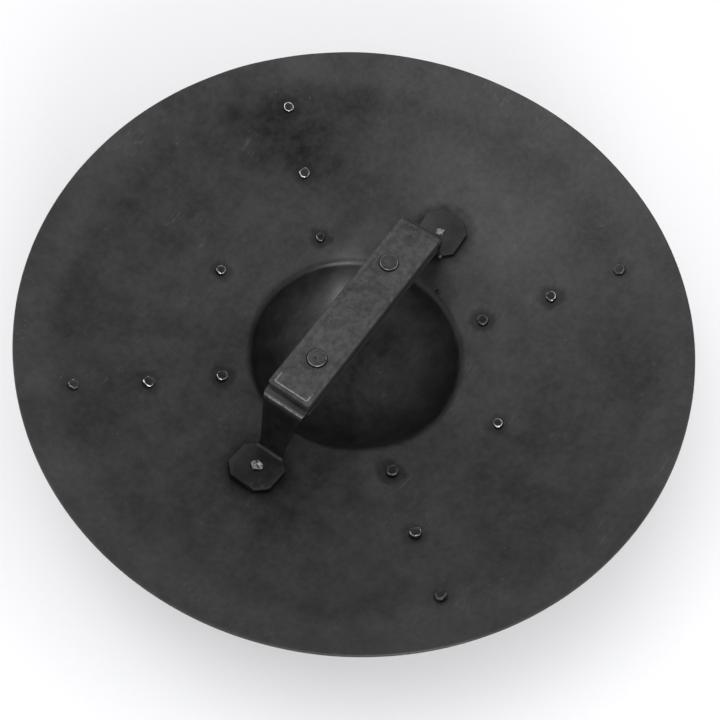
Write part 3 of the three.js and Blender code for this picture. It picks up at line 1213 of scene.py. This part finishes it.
@dataclass
class RivetSetter:
    """Sets copies of a rivet in the plate with Geometry Nodes, each turned and sized a little differently.

    Attributes:
        name: name of the finished piece.
        form: the rivet.
        spread: how much sizes differ, as a share.
        seed: fixes the random turns and sizes.
        hammered: how far each one's surface strays from the form.
        lump: distance across its lumps.
    """

    name: str
    form: RivetForm
    spread: float = 0.02
    seed: int = 4
    hammered: float = 0.4 * MM
    lump: float = 2.4 * MM

    def tree(self) -> bpy.types.NodeTree:
        """Builds the node tree: points with an axis in, rivets out.

        Returns:
            The tree, with named inputs for the form, the spread of sizes, the seed and the finish.
        """
        tree = bpy.data.node_groups.new(f"set_{self.name}", "GeometryNodeTree")
        ask = tree.interface.new_socket
        ask("Seats", in_out="INPUT", socket_type="NodeSocketGeometry")
        ask("Rivet", in_out="INPUT", socket_type="NodeSocketObject")
        ask("Spread", in_out="INPUT", socket_type="NodeSocketFloat")
        ask("Seed", in_out="INPUT", socket_type="NodeSocketInt")
        ask("Finish", in_out="INPUT", socket_type="NodeSocketMaterial")
        ask("Rivets", in_out="OUTPUT", socket_type="NodeSocketGeometry")
        bench = Bench(tree)
        given = bench.add("NodeGroupInput").outputs
        axis = bench.add("GeometryNodeInputNamedAttribute", {"Name": "axis"}, data_type="FLOAT_VECTOR")
        upright = bench.add("FunctionNodeAlignRotationToVector", {"Vector": axis.outputs[0]}, axis="Z")
        scaling = bench.add("ShaderNodeCombineXYZ", {2: 1.0})
        around = {2: 0.0, 3: 2 * math.pi, "Seed": given["Seed"]}
        spin = bench.add("FunctionNodeRandomValue", around, data_type="FLOAT")
        turn = bench.add("FunctionNodeAxisAngleToRotation", {"Angle": spin.outputs[1]})
        both = {0: upright.outputs[0], 1: turn.outputs[0]}
        turned = bench.add("FunctionNodeRotateRotation", both, rotation_space="LOCAL")
        own = bench.add("GeometryNodeInputNamedAttribute", {"Name": "size"}, data_type="FLOAT").outputs[0]
        low = bench.math("SUBTRACT", own, given["Spread"])
        high = bench.plus(own, given["Spread"])
        between = {2: low, 3: high, "Seed": given["Seed"]}
        size = bench.add("FunctionNodeRandomValue", between, data_type="FLOAT")
        for side in (0, 1):
            tree.links.new(size.outputs[1], scaling.inputs[side])
        form = bench.add("GeometryNodeObjectInfo", {"Object": given["Rivet"]})
        placed = bench.add(
            "GeometryNodeInstanceOnPoints",
            {
                "Points": given["Seats"],
                "Instance": form.outputs["Geometry"],
                "Rotation": turned.outputs[0],
                "Scale": scaling.outputs[0],
            },
        )
        real = bench.add("GeometryNodeRealizeInstances", {0: placed.outputs[0]})
        wanted = {"Geometry": real.outputs[0], "Material": given["Finish"]}
        dressed = bench.add("GeometryNodeSetMaterial", wanted)
        bench.add("NodeGroupOutput", {0: dressed.outputs[0]})
        return tree

    def build(self, nodes: Sequence[str], finish: Finish) -> bpy.types.Object:
        """Sets the rivets.

        Args:
            nodes: the frame's nodes that they stand for.
            finish: their finish.

        Returns:
            The piece.
        """
        material = finish.build()
        form = self.form.build()
        seat_mesh = bpy.data.meshes.new(f"{self.name}_seats")
        seats = [seat_of(node) for node in nodes]
        seat_mesh.from_pydata([seat.point for seat in seats], [], [])
        layer = seat_mesh.attributes.new("axis", "FLOAT_VECTOR", "POINT")
        layer.data.foreach_set("vector", [value for seat in seats for value in seat.axis])
        for key in ("size", "shine", "soot"):
            layer = seat_mesh.attributes.new(key, "FLOAT", "POINT")
            layer.data.foreach_set("value", [getattr(PEENS[node], key) for node in nodes])
        carrier = bpy.data.objects.new(f"{self.name}_seats", seat_mesh)
        bpy.context.scene.collection.objects.link(carrier)
        modifier = carrier.modifiers.new("set", "NODES")
        modifier.node_group = self.tree()
        values = {"Rivet": form, "Spread": self.spread, "Seed": self.seed, "Finish": material}
        for item in modifier.node_group.interface.items_tree:
            if item.in_out == "INPUT" and item.name in values:
                modifier[item.identifier] = values[item.name]
        bpy.context.view_layer.update()
        evaluated = carrier.evaluated_get(bpy.context.evaluated_depsgraph_get())
        mesh = bpy.data.meshes.new_from_object(evaluated)
        carrier.modifiers.remove(modifier)
        for spare in (carrier, form):
            bpy.data.objects.remove(spare)
        piece = bpy.data.objects.new(self.name, mesh)
        bpy.context.scene.collection.objects.link(piece)
        self.hammer(mesh)
        finish_piece(piece, material, nodes)
        return piece

    def hammer(self, mesh: bpy.types.Mesh) -> None:
        """Makes every rivet irregular, and wears its edge as much as its own history asks.

        Args:
            mesh: the set rivets.
        """
        points = np.array([vertex.co[:] for vertex in mesh.vertices])
        push = np.column_stack([drift(points, self.lump, seed, 3) for seed in (7, 8, 9)])
        moved = points + push * self.hammered
        mesh.vertices.foreach_set("co", moved.astype(np.float32).ravel())
        edge, shine, soot = (np.zeros(len(points), dtype=np.float32) for _ in range(3))
        for key, values in (("edge", edge), ("shine", shine), ("soot", soot)):
            mesh.attributes[key].data.foreach_get("value", values)
        worn = np.where(shine > 0.15, edge * (0.5 + 0.5 * shine), 0.0).astype(np.float32)
        mesh.attributes["edge"].data.foreach_set("value", worn)
        mesh.attributes.new("tone", "FLOAT", "POINT").data.foreach_set("value", 0.3 - 0.8 * soot)
        mesh.update()


# ---------------------------------------------------------------------------------------------
# the handle
# ---------------------------------------------------------------------------------------------


@dataclass
class HandleBar:
    """The flat bar bent into a bridge, with eight-sided feet.

    Attributes:
        thickness: of the bar.
        width: of the parallel part.
        above_rim: middle of the bar above the height of the dish's edge.
        bend: bend radius at the middle of the bar.
        leg_top: where the legs turn down.
        foot_length: length of a foot.
        foot_width: width of a foot.
        foot_corner: cut off each corner of a foot.
        neck: width of a leg at its foot.
        edge: rounding of the bar's long edges.
        neck_fillet: where a leg starts to widen from its neck.
        station: greatest spacing of the mesh along the bar.
        ridge_out: how far beyond the turn of a leg the ridge lies that is painted bright, partly as wear and
            partly as a painted highlight.
        ridge_reach: how far to each side of it the wear and the painted highlight go.
        tremor: how uneven the bar's surface is.
    """

    thickness: float = 2.4 * MM
    width: float = 25.4 * MM
    above_rim: float = 0.5 * MM
    bend: float = 3.0 * MM
    leg_top: float = 65 * MM
    foot_length: float = 26 * MM
    foot_width: float = 27 * MM
    foot_corner: float = 6 * MM
    neck: float = 14.5 * MM
    edge: float = 0.45 * MM
    neck_fillet: float = 2.5 * MM
    station: float = 1.5 * MM
    ridge_out: float = 0.2 * MM
    ridge_reach: float = 1.1 * MM
    tremor: float = 0.08 * MM

    @property
    def height(self) -> float:
        """Height of the middle of the bar over the boss."""
        return SHEET.thickness + SHEET.boss_depth + SHEET.dish_depth + self.above_rim

    @property
    def shift(self) -> float:
        """How far the handle sits to the side of the middle."""
        low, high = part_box("handle_bar")
        return (low.y + high.y) / 2

    def foot_point(self, outwards: float) -> Vector:
        """A point on the middle line of a foot, in the plane of the handle.

        Args:
            outwards: distance from the foot's rivet, away from the grip.

        Returns:
            Its X and Z.
        """
        foot_radius = (seat_of(FOOT_RIVETS[0]).point.x - seat_of(FOOT_RIVETS[1]).point.x) / 2
        slope = math.asin(foot_radius / SHEET.dish_radius)
        corner = math.hypot(self.foot_length / 2, self.foot_width / 2 - self.foot_corner)
        gap = corner**2 / (2 * SHEET.dish_radius) + CLEARANCE
        reach = SHEET.dish_radius - gap - self.thickness / 2
        middle = Vector((reach * math.sin(slope), SHEET.dish_centre - reach * math.cos(slope)))
        return middle + Vector((math.cos(slope), math.sin(slope))) * outwards

    def half_line(self) -> list[tuple[Vector, Vector, float]]:
        """The middle line from the middle of the grip to the end of a foot.

        Returns:
            Stations: place, upward normal and half width.
        """
        crease, end = self.foot_point(-self.foot_length / 2), self.foot_point(self.foot_length / 2)
        corners = [Vector((0.0, self.height)), Vector((self.leg_top, self.height)), crease, end]
        line: list[tuple[Vector, Vector]] = []
        for before, corner, after in zip(corners, corners[1:], corners[2:]):
            into, away = (corner - before).normalized(), (after - corner).normalized()
            turn = math.atan2(into.x * away.y - into.y * away.x, into.dot(away))
            side = math.copysign(1.0, turn)
            square = Vector((-into.y, into.x))
            start = corner - into * self.bend * math.tan(abs(turn) / 2)
            middle = start + square * side * self.bend
            for angle in np.linspace(0.0, turn, 9):
                normal = Matrix.Rotation(angle, 2) @ square
                line.append((middle - normal * side * self.bend, normal))
        first = (corners[0], Vector((0.0, 1.0)))
        last_normal = line[-1][1]
        line = [first, *line, (end, last_normal)]
        return self.widen(self.fill(line), end, crease)

    def fill(self, line: list[tuple[Vector, Vector]]) -> list[tuple[Vector, Vector]]:
        """Adds stations along the straight stretches.

        Args:
            line: stations at the bends and ends.

        Returns:
            Stations about as far apart as the mesh allows, or closer.
        """
        filled = [line[0]]
        for (before, normal_a), (after, normal_b) in zip(line, line[1:]):
            steps = max(1, round((after - before).length / self.station))
            for step in range(1, steps + 1):
                share = step / steps
                filled.append((before.lerp(after, share), normal_a.lerp(normal_b, share).normalized()))
        return filled

    def widen(
        self, line: list[tuple[Vector, Vector]], end: Vector, crease: Vector
    ) -> list[tuple[Vector, Vector, float]]:
        """Gives each station its half width, from the plan of the bar.

        Args:
            line: the stations.
            end: the end of the foot.
            crease: where the leg meets the foot.

        Returns:
            The stations with their half widths.
        """
        plan_x = [0.0, self.leg_top - 1 * MM, crease.x - self.neck_fillet, crease.x]
        plan_w = [self.width / 2, self.width / 2, self.neck / 2 + 0.4 * MM, self.neck / 2]
        flat = (end - crease).length
        foot_s = [0.0, self.foot_corner, flat - self.foot_corner, flat]
        wide = self.foot_width / 2
        foot_w = [self.neck / 2, wide, wide, wide - self.foot_corner]
        widened = []
        for point, normal in line:
            if point.x <= crease.x:
                half = float(np.interp(point.x, plan_x, plan_w))
            else:
                half = float(np.interp((point - crease).length, foot_s, foot_w))
            widened.append((point, normal, half))
        return widened

    def section(self, half: float) -> list[tuple[float, float, float]]:
        """The bar's cross-section with softened edges.

        Args:
            half: half the width here.

        Returns:
            Across, up and how much each point is on an edge.
        """
        flat, up, soft = half - self.edge, self.thickness / 2, self.edge
        points = []
        for side, lift in ((1, 1), (-1, 1), (-1, -1), (1, -1)):
            arc = np.linspace(0.0, math.pi / 2, 4)
            if side * lift < 0:
                arc = arc[::-1]
            for angle in arc:
                across = side * (flat + soft * math.cos(angle))
                points.append((across, lift * (up - soft + soft * math.sin(angle)), 1.0))
            if side == lift:
                shares = (0.66, 0.33, 0.0, -0.33, -0.66)
                points += [(flat * share * side, up * lift, 0.0) for share in shares]
        return points

    def build(self) -> bpy.types.Object:
        """Builds the bar.

        Returns:
            The piece.
        """
        half = self.half_line()
        shift = self.shift
        mirrored = [(Vector((-p.x, p.y)), Vector((-n.x, n.y)), w) for p, n, w in reversed(half)]
        stations = [*mirrored[:-1], *half]
        points, edge, polish = [], [], []
        for point, normal, width in stations:
            for across, up, rim in self.section(width):
                points.append((point.x + normal.x * up, shift + across, point.y + normal.y * up))
                # the bright ridge along each bend is partly wear and partly a painted highlight
                ridge = 1.0 - abs(abs(point.x) - self.leg_top - self.ridge_out) / self.ridge_reach
                edge.append(max(0.3 * rim, 0.9 * ridge if up > 0 else 0.0))
                polish.append(max(0.08 * rim, min(1.0, 1.4 * ridge) if up > 0 else 0.0))
        count = len(self.section(self.width / 2))
        faces: Faces = []
        for row in range(len(stations) - 1):
            for i in range(count):
                j = (i + 1) % count
                base = row * count
                faces.append((base + i, base + j, base + count + j, base + count + i))
        faces.append(tuple(range(count - 1, -1, -1)))
        last = (len(stations) - 1) * count
        faces.append(tuple(range(last, last + count)))
        array = np.array(points)
        array[:, 2] += drift(array, 12 * MM, 11) * self.tremor
        tone = 0.5 * drift(array, 14 * MM, 12, 3)
        values = {"edge": np.array(edge), "polish": np.array(polish), "tone": tone}
        bar = make_object("handle_bar_dressed", array, faces, values, 35.0)
        finish = BlackenedSteel(
            "blackened_bar",
            "blackened_bar",
            dark=0.015,
            light=0.034,
            worn=0.25,
            blotch=22 * MM,
            reach=0.8,
            scratched=0.008,
        )
        finish_piece(bar, finish.build(), ["handle_bar"])
        return bar


class Layer(Enum):
    """Which side of the bar a leather lies on."""

    UPPER = "grip_leather_upper"
    LOWER = "grip_leather_lower"


@dataclass
class GripLeather:
    """A strip of thick leather along the bar, with a line tooled inside its edge.

    Attributes:
        layer: which side of the bar it lies on.
        step: spacing of the mesh along the face.
        corner: rounding of its corners.
        softness: rounding of its cut edges.
        line_side: distance of the tooled line from the long edges.
        line_end: distance of it from the ends.
        line_depth: how deep it is pressed.
        line_width: half the width of the groove.
        grain: depth of the leather's creases.
        swell: how far the face rises and falls.
        cut_reach: width of the border along the cut edge that is painted darker together with the walls,
            partly as the raw edge and partly as painted shade.
        ragged: how far the cut edge strays.
        seat: how far the rivets' heads are let in.
    """

    layer: Layer
    step: float = 0.45 * MM
    corner: float = 1.8 * MM
    softness: float = 0.45 * MM
    line_side: float = 2.9 * MM
    line_end: float = 2.5 * MM
    line_depth: float = 0.45 * MM
    line_width: float = 0.5 * MM
    grain: float = 0.14 * MM
    swell: float = 0.12 * MM
    cut_reach: float = 0.7 * MM
    ragged: float = 0.16 * MM
    seat: float = 1.2 * MM

    @staticmethod
    def from_edge(x: np.ndarray, y: np.ndarray, half_x: float, half_y: float) -> Grid:
        """Distances in from the end and from the side.

        Args:
            x: places along the strip.
            y: places across it.
            half_x: half its length.
            half_y: half its width.

        Returns:
            Distance from the nearer end and from the nearer side.
        """
        return half_x - np.abs(x), half_y - np.abs(y)

    def relief(self, x: np.ndarray, y: np.ndarray, half_x: float, half_y: float) -> Grid:
        """Height of the face below flat, and how much of it is tooled line.

        Args:
            x: places along the strip.
            y: places across it.
            half_x: half its length.
            half_y: half its width.

        Returns:
            The drop and the line's mask.
        """
        end, side = self.from_edge(x, y, half_x, half_y)
        on_side = np.abs(side - self.line_side)
        on_end = np.abs(end - self.line_end)
        on_side = np.where(end > self.line_end - 0.2 * MM, on_side, 1.0)
        on_end = np.where(side > self.line_side - 0.2 * MM, on_end, 1.0)
        away = np.minimum(on_side, on_end)
        line = np.exp(-((away / self.line_width) ** 2))
        nearest = np.minimum(end, side)
        rounding = np.clip(1.0 - nearest / self.softness, 0.0, 1.0)
        drop = line * self.line_depth + self.softness * (1.0 - np.sqrt(np.clip(1.0 - rounding**2, 0.0, 1.0)))
        return drop, line

    def build(self) -> bpy.types.Object:
        """Builds the strip.

        Returns:
            The piece.
        """
        low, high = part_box(self.layer.value)
        half_x, half_y = (high.x - low.x) / 2, (high.y - low.y) / 2
        middle = (low + high) / 2
        columns = np.linspace(-half_x, half_x, round(2 * half_x / self.step) + 1)
        rows = np.linspace(-half_y, half_y, round(2 * half_y / self.step) + 1)
        x, y = np.meshgrid(columns, rows, indexing="ij")
        drop, line = self.relief(x, y, half_x, half_y)
        flat = np.column_stack((x.ravel(), y.ravel(), np.zeros(x.size)))
        pits = self.creases(flat).reshape(x.shape) * self.middle_of(x, y, half_x, half_y)
        wavy = drift(flat, 6 * MM, 21, 3).reshape(x.shape) * self.swell + pits * self.grain
        sunk = self.sink_rivets(x + middle.x, y + middle.y)
        face_z = high.z - drop - np.abs(wavy) - sunk
        under_z = np.full(x.shape, low.z) + SLIVER
        # the border that is painted darker: partly the raw cut edge, partly painted shade
        cut = smoothstep(1.0 - (np.minimum(*self.from_edge(x, y, half_x, half_y)) / self.cut_reach))
        if self.layer is Layer.LOWER:
            face_z, under_z = low.z + drop + np.abs(wavy) + sunk, np.full(x.shape, high.z) - SLIVER
        round_x, round_y = self.round_corners(x, y, half_x, half_y)
        ragged = drift(flat, 1.4 * MM, 23, 3).reshape(x.shape) * self.ragged * cut
        round_x, round_y = round_x - np.sign(x) * np.abs(ragged), round_y - np.sign(y) * np.abs(ragged)
        upper = np.stack((round_x + middle.x, round_y + middle.y, face_z), axis=-1)
        lower = np.stack((round_x + middle.x, round_y + middle.y, under_z), axis=-1)
        points, faces = self.close(upper, lower)
        if self.layer is Layer.LOWER:
            faces = [tuple(reversed(face)) for face in faces]
        worn = line * (0.12 + 0.88 * np.exp(-((np.maximum(x + half_x - 2.0 * MM, 0.0) / (9 * MM)) ** 2)))
        values = self.spread_values({"edge": worn, "cut": cut, "pits": pits}, x.shape)
        name = self.layer.name.lower() + "_leather"
        strip = make_object(name, points, faces, values, 60.0)
        finish = BlackLeather("black_leather_" + self.layer.name.lower(), "black_leather")
        finish_piece(strip, finish.build(), [self.layer.value])
        return strip

    def sink_rivets(self, x: np.ndarray, y: np.ndarray) -> np.ndarray:
        """How far the leather is let in under and pulled down round the grip's rivets.

        Args:
            x: places along the frame's X.
            y: places along the frame's Y.

        Returns:
            The drop.
        """
        total = np.zeros(x.shape)
        for name in GRIP_RIVETS:
            low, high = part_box(name)
            away = np.hypot(x - (low.x + high.x) / 2, y - (low.y + high.y) / 2)
            head = (high.x - low.x) / 2
            seat = 1.0 - smoothstep((away - head - 0.1 * MM) / (0.45 * MM))
            pull = 0.25 * MM * np.exp(-((np.maximum(away - head, 0.0) / (1.6 * MM)) ** 2))
            total = np.maximum(total, np.maximum(seat * self.seat, pull))
        return total

    def round_corners(self, x: np.ndarray, y: np.ndarray, half_x: float, half_y: float) -> Grid:
        """Bends the grid's square corners into round ones.

        Args:
            x: places along the strip.
            y: places across it.
            half_x: half its length.
            half_y: half its width.

        Returns:
            The moved places.
        """
        over_x = np.clip((np.abs(x) - half_x + self.corner) / self.corner, 0.0, 1.0)
        over_y = np.clip((np.abs(y) - half_y + self.corner) / self.corner, 0.0, 1.0)
        in_corner = (over_x > 0) & (over_y > 0)
        bent_x = half_x - self.corner + self.corner * over_x * np.sqrt(1 - over_y**2 / 2)
        bent_y = half_y - self.corner + self.corner * over_y * np.sqrt(1 - over_x**2 / 2)
        new_x = np.where(in_corner, bent_x, np.abs(x))
        new_y = np.where(in_corner, bent_y, np.abs(y))
        return np.sign(x) * new_x, np.sign(y) * new_y

    def close(self, upper: np.ndarray, lower: np.ndarray) -> tuple[np.ndarray, Faces]:
        """Joins a face and an underside by walls.

        Args:
            upper: grid of the face's points.
            lower: grid of the underside's points.

        Returns:
            The vertices and faces of the closed strip.
        """
        nx, ny = upper.shape[:2]
        index = np.arange(nx * ny).reshape(nx, ny)
        faces: Faces = []
        for i in range(nx - 1):
            for j in range(ny - 1):
                quad = (index[i, j], index[i + 1, j], index[i + 1, j + 1], index[i, j + 1])
                faces.append(tuple(int(k) for k in quad))
                faces.append(tuple(int(k) + nx * ny for k in reversed(quad)))
        border = self.border(index)
        walls = 4
        top, bottom = upper.reshape(-1, 3)[border], lower.reshape(-1, 3)[border]
        rings = [top + (bottom - top) * k / walls for k in range(1, walls)]
        fuzz = [ring + self.fuzz(ring) for ring in rings]
        base = 2 * nx * ny
        loop = np.array(border)
        between = [base + k * len(border) + np.arange(len(border)) for k in range(walls - 1)]
        rows = [loop, *between, loop + nx * ny]
        for above, below in zip(rows, rows[1:]):
            for i in range(len(border)):
                j = (i + 1) % len(border)
                faces.append((int(above[j]), int(above[i]), int(below[i]), int(below[j])))
        return np.vstack([upper.reshape(-1, 3), lower.reshape(-1, 3), *fuzz]), faces

    @staticmethod
    def border(index: np.ndarray) -> list[int]:
        """The grid's outer vertices in order, anticlockwise from above.

        Args:
            index: grid of vertex numbers.

        Returns:
            The loop of numbers.
        """
        loop = [*index[:, 0], *index[-1, 1:], *index[-2::-1, -1], *index[0, -2:0:-1]]
        return [int(k) for k in loop]

    @staticmethod
    def fuzz(ring: np.ndarray) -> np.ndarray:
        """Roughness of the cut wall.

        Args:
            ring: points on the wall.

        Returns:
            How far each moves.
        """
        rough = drift(ring, 1.1 * MM, 27, 3) * 0.12 * MM
        middle = ring.mean(axis=0)
        out = ring - middle
        out[:, 2] = 0.0
        out /= np.maximum(np.linalg.norm(out, axis=1), 1e-6)[:, None]
        return -out * np.abs(rough)[:, None]

    @staticmethod
    def creases(flat: np.ndarray) -> np.ndarray:
        """The winding creases between the pebbles of the grain.

        Args:
            flat: an N by 3 array of places on the strip.

        Returns:
            1 in a crease, 0 on a pebble.
        """
        fine = 1.0 - np.abs(drift(flat, 2.2 * MM, 24, 2)) * 8.0
        patch = smoothstep(0.45 + 1.2 * drift(flat, 9 * MM, 25, 2))
        return np.clip(fine, 0.0, 1.0) * (0.35 + 0.65 * patch)

    def middle_of(self, x: np.ndarray, y: np.ndarray, half_x: float, half_y: float) -> np.ndarray:
        """How far inside the tooled line each place is; the border outside it is burnished smooth.

        Args:
            x: places along the strip.
            y: places across it.
            half_x: half its length.
            half_y: half its width.

        Returns:
            1 in the middle and 0.2 on the border.
        """
        end, side = self.from_edge(x, y, half_x, half_y)
        inside = np.minimum(end - self.line_end, side - self.line_side)
        return 0.2 + 0.8 * smoothstep(inside / (1.5 * MM))

    @staticmethod
    def spread_values(masks: dict[str, np.ndarray], shape: tuple[int, ...]) -> dict[str, np.ndarray]:
        """Attribute values for the face, the underside and the walls.

        Args:
            masks: the face's masks; the one named cut covers the walls as well.
            shape: the grid's shape.

        Returns:
            Values for each vertex, by attribute.
        """
        walls = 3 * (2 * (shape[0] + shape[1]) - 4)
        spread = {}
        for key, mask in masks.items():
            rest = np.ones(walls) if key == "cut" else np.zeros(walls)
            under = mask.ravel() if key == "cut" else np.zeros(mask.size)
            spread[key] = np.concatenate((mask.ravel(), under, rest))
        return spread


@dataclass
class GripRivet:
    """A flat-headed rivet through both leathers and the bar.

    Attributes:
        node: its node in the frame.
        seed: makes its dents its own.
        thickness: of the head.
        bevel: width of the head's worn edge.
        shank: radius of the shank.
        dent: depth of the hammer mark on its face.
    """

    node: str
    seed: int
    thickness: float = 1.3 * MM
    bevel: float = 0.5 * MM
    shank: float = 2.1 * MM
    dent: float = 0.35 * MM

    def profile(self, head: float, half: float) -> Outline:
        """Radius and height of the rivet's outline.

        Args:
            head: radius of the head.
            half: half the rivet's length.

        Returns:
            The points from the middle of the lower head to the middle of the upper one.
        """
        upper = [(self.shank, 0.0), (self.shank, half - self.thickness), (head, half - self.thickness)]
        for angle in np.linspace(0.0, math.pi / 2, 6):
            across = head - self.bevel * (1 - math.cos(angle))
            upper.append((across, half - self.bevel * (1 - math.sin(angle)) * 0.8))
        flat = head - self.bevel
        upper += [(flat * share, half) for share in (0.85, 0.7, 0.55, 0.4, 0.25, 0.12, 0.0)]
        lower = [(r, -z) for r, z in reversed(upper[1:])]
        return [*lower, *upper]

    def build(self) -> bpy.types.Object:
        """Builds the rivet.

        Returns:
            The piece.
        """
        low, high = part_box(self.node)
        middle, half, head = (low + high) / 2, (high.z - low.z) / 2, (high.x - low.x) / 2
        points, faces = lathe(self.profile(head, half), 40)
        radius = np.hypot(points[:, 0], points[:, 1])
        near_top = np.abs(points[:, 2]) > half - self.thickness * 0.9
        edge = np.clip(1.0 - np.abs(radius - head + 0.4 * self.bevel) / self.bevel, 0.0, 1.0) * near_top
        place = points + np.array([self.seed * 0.1, 0.0, 0.0])
        dents = np.clip(drift(place, 3.0 * MM, self.seed, 3), -1.0, 0.6)
        struck = (radius < head - 0.2 * self.bevel) * near_top
        points[:, 2] += np.sign(points[:, 2]) * dents * self.dent * struck * 0.5
        halo = np.clip(-dents * 2.2, 0.0, 1.0) * near_top
        points += np.array(middle)
        rivet = make_object(f"{self.node}_dressed", points, faces, {"edge": edge, "halo": halo}, 50.0)
        finish = BlackenedSteel(
            f"rivet_steel_{self.node}",
            "rivet_steel",
            dark=0.03,
            light=0.075,
            worn=0.3,
            blotch=4 * MM,
            reach=0.75,
        )
        finish_piece(rivet, finish.build(), [self.node])
        return rivet


# ---------------------------------------------------------------------------------------------
# studio
# ---------------------------------------------------------------------------------------------


@dataclass(frozen=True)
class SoftLight:
    """A square soft light aimed at the shield.

    Attributes:
        name: what it is called.
        azimuth: direction that it stands in, in degrees from X.
        elevation: degrees above the floor.
        distance: from the shield.
        size: side of its square.
        power: in watts.
    """

    name: str
    azimuth: float
    elevation: float
    distance: float
    size: float
    power: float

    def build(self, aim: Vector) -> None:
        """Hangs the light.

        Args:
            aim: where it points.
        """
        data = bpy.data.lights.new(self.name, "AREA")
        data.shape = "SQUARE"
        data.size = self.size
        data.energy = self.power
        lamp = bpy.data.objects.new(self.name, data)
        lamp.matrix_world = facing(aim, self.azimuth, self.elevation, self.distance)
        bpy.context.scene.collection.objects.link(lamp)


def facing(aim: Vector, azimuth: float, elevation: float, distance: float, roll: float = 0.0) -> Matrix:
    """Where something stands that looks at a point.

    Args:
        aim: the point.
        azimuth: direction that it stands in, in degrees from X.
        elevation: degrees above the horizon.
        distance: from the point.
        roll: degrees that it is turned about its line of sight.

    Returns:
        Its matrix.
    """
    turn, rise = math.radians(azimuth), math.radians(elevation)
    back = Vector((math.cos(turn) * math.cos(rise), math.sin(turn) * math.cos(rise), math.sin(rise)))
    look = back.to_track_quat("Z", "Y").to_matrix()
    turned = look @ Matrix.Rotation(math.radians(roll), 3, "Z")
    return Matrix.Translation(aim + back * distance) @ turned.to_4x4()


@dataclass
class Studio:
    """A pale floor, soft lights and the camera.

    Attributes:
        camera_azimuth: direction that the camera stands in, in degrees from X.
        camera_elevation: degrees above the horizon.
        camera_distance: from the aim.
        camera_roll: turn about the line of sight.
        aim: point in the height of the rim that the camera looks at.
        lens_mm: focal length on a 36 mm wide frame.
        sky: brightness of the studio all round.
        floor_size: side of the floor.
        lights: the lights that hang in it.
    """

    camera_azimuth: float = -151.21
    camera_elevation: float = 63.22
    camera_distance: float = 616.6 * MM
    camera_roll: float = 6.34
    aim: Vector = field(default_factory=lambda: Vector((-21.6 * MM, -15.9 * MM, 87.6 * MM)))
    lens_mm: float = 59.38
    sky: float = 0.88
    floor_size: float = 12.0
    lights: tuple[SoftLight, ...] = (
        SoftLight("key_light", -135.0, 24.0, 1.6, 0.6, 10.0),
        SoftLight("top_light", 110.0, 75.0, 1.8, 1.0, 5.0),
    )

    def build(self) -> None:
        """Sets up the studio."""
        self.lay_floor()
        self.place_camera()
        self.set_sky()
        for light in self.lights:
            light.build(Vector((0.0, 0.0, 60 * MM)))
        bpy.context.scene.view_settings.view_transform = "Standard"
        log.info("studio: %d lights", len(self.lights))

    def lay_floor(self) -> None:
        """Lays the floor at the height that the shield stands on."""
        half = self.floor_size / 2
        corners = np.array([[-half, -half, 0.0], [half, -half, 0.0], [half, half, 0.0], [-half, half, 0.0]])
        floor = make_object("floor", corners, [(0, 1, 2, 3)])
        floor.data.materials.append(Paper("studio_paper", "").build())

    def place_camera(self) -> None:
        """Places the camera and makes it the scene's own."""
        data = bpy.data.cameras.new("camera")
        data.sensor_width = 36.0
        data.lens = self.lens_mm
        data.clip_start = 0.01
        camera = bpy.data.objects.new("camera", data)
        camera.matrix_world = facing(
            self.aim, self.camera_azimuth, self.camera_elevation, self.camera_distance, self.camera_roll
        )
        bpy.context.scene.collection.objects.link(camera)
        bpy.context.scene.camera = camera

    def set_sky(self) -> None:
        """Surrounds the scene with even soft light."""
        world = bpy.data.worlds.new("studio")
        world.use_nodes = True
        background = world.node_tree.nodes["Background"]
        background.inputs["Color"].default_value = grey(1.0)
        background.inputs["Strength"].default_value = self.sky
        bpy.context.scene.world = world


# ---------------------------------------------------------------------------------------------
# the whole shield
# ---------------------------------------------------------------------------------------------


def main() -> None:
    """Builds the pieces in order."""
    logging.basicConfig(level=logging.INFO, format="%(name)s %(message)s")
    Studio().build()
    ShieldPlate().build()
    steel = BlackenedSteel(
        "rivet_steel_plate", "rivet_steel", worn=0.7, polished=0.09, blotch=5 * MM, reach=0.9
    )
    RivetSetter("plate_rivets", RivetForm("plate_rivet")).build(PLATE_RIVETS, steel)
    HandleBar().build()
    foot_form = RivetForm(
        "foot_rivet",
        end=3.3 * MM,
        end_height=1.5 * MM,
        bevel=0.9 * MM,
        dish=0.0,
        grip=3.0 * MM,
        pit=0.0,
        bare=0.85,
    )
    foot_steel = BlackenedSteel(
        "rivet_steel_foot", "rivet_steel", dark=0.03, light=0.09, worn=0.22, blotch=4 * MM, reach=1.05
    )
    RivetSetter("foot_rivets", foot_form, seed=9, hammered=0.9 * MM).build(FOOT_RIVETS, foot_steel)
    for layer in Layer:
        GripLeather(layer).build()
    for number, node in enumerate(GRIP_RIVETS):
        GripRivet(node, seed=31 + number).build()


if __name__ == "__main__":
    main()
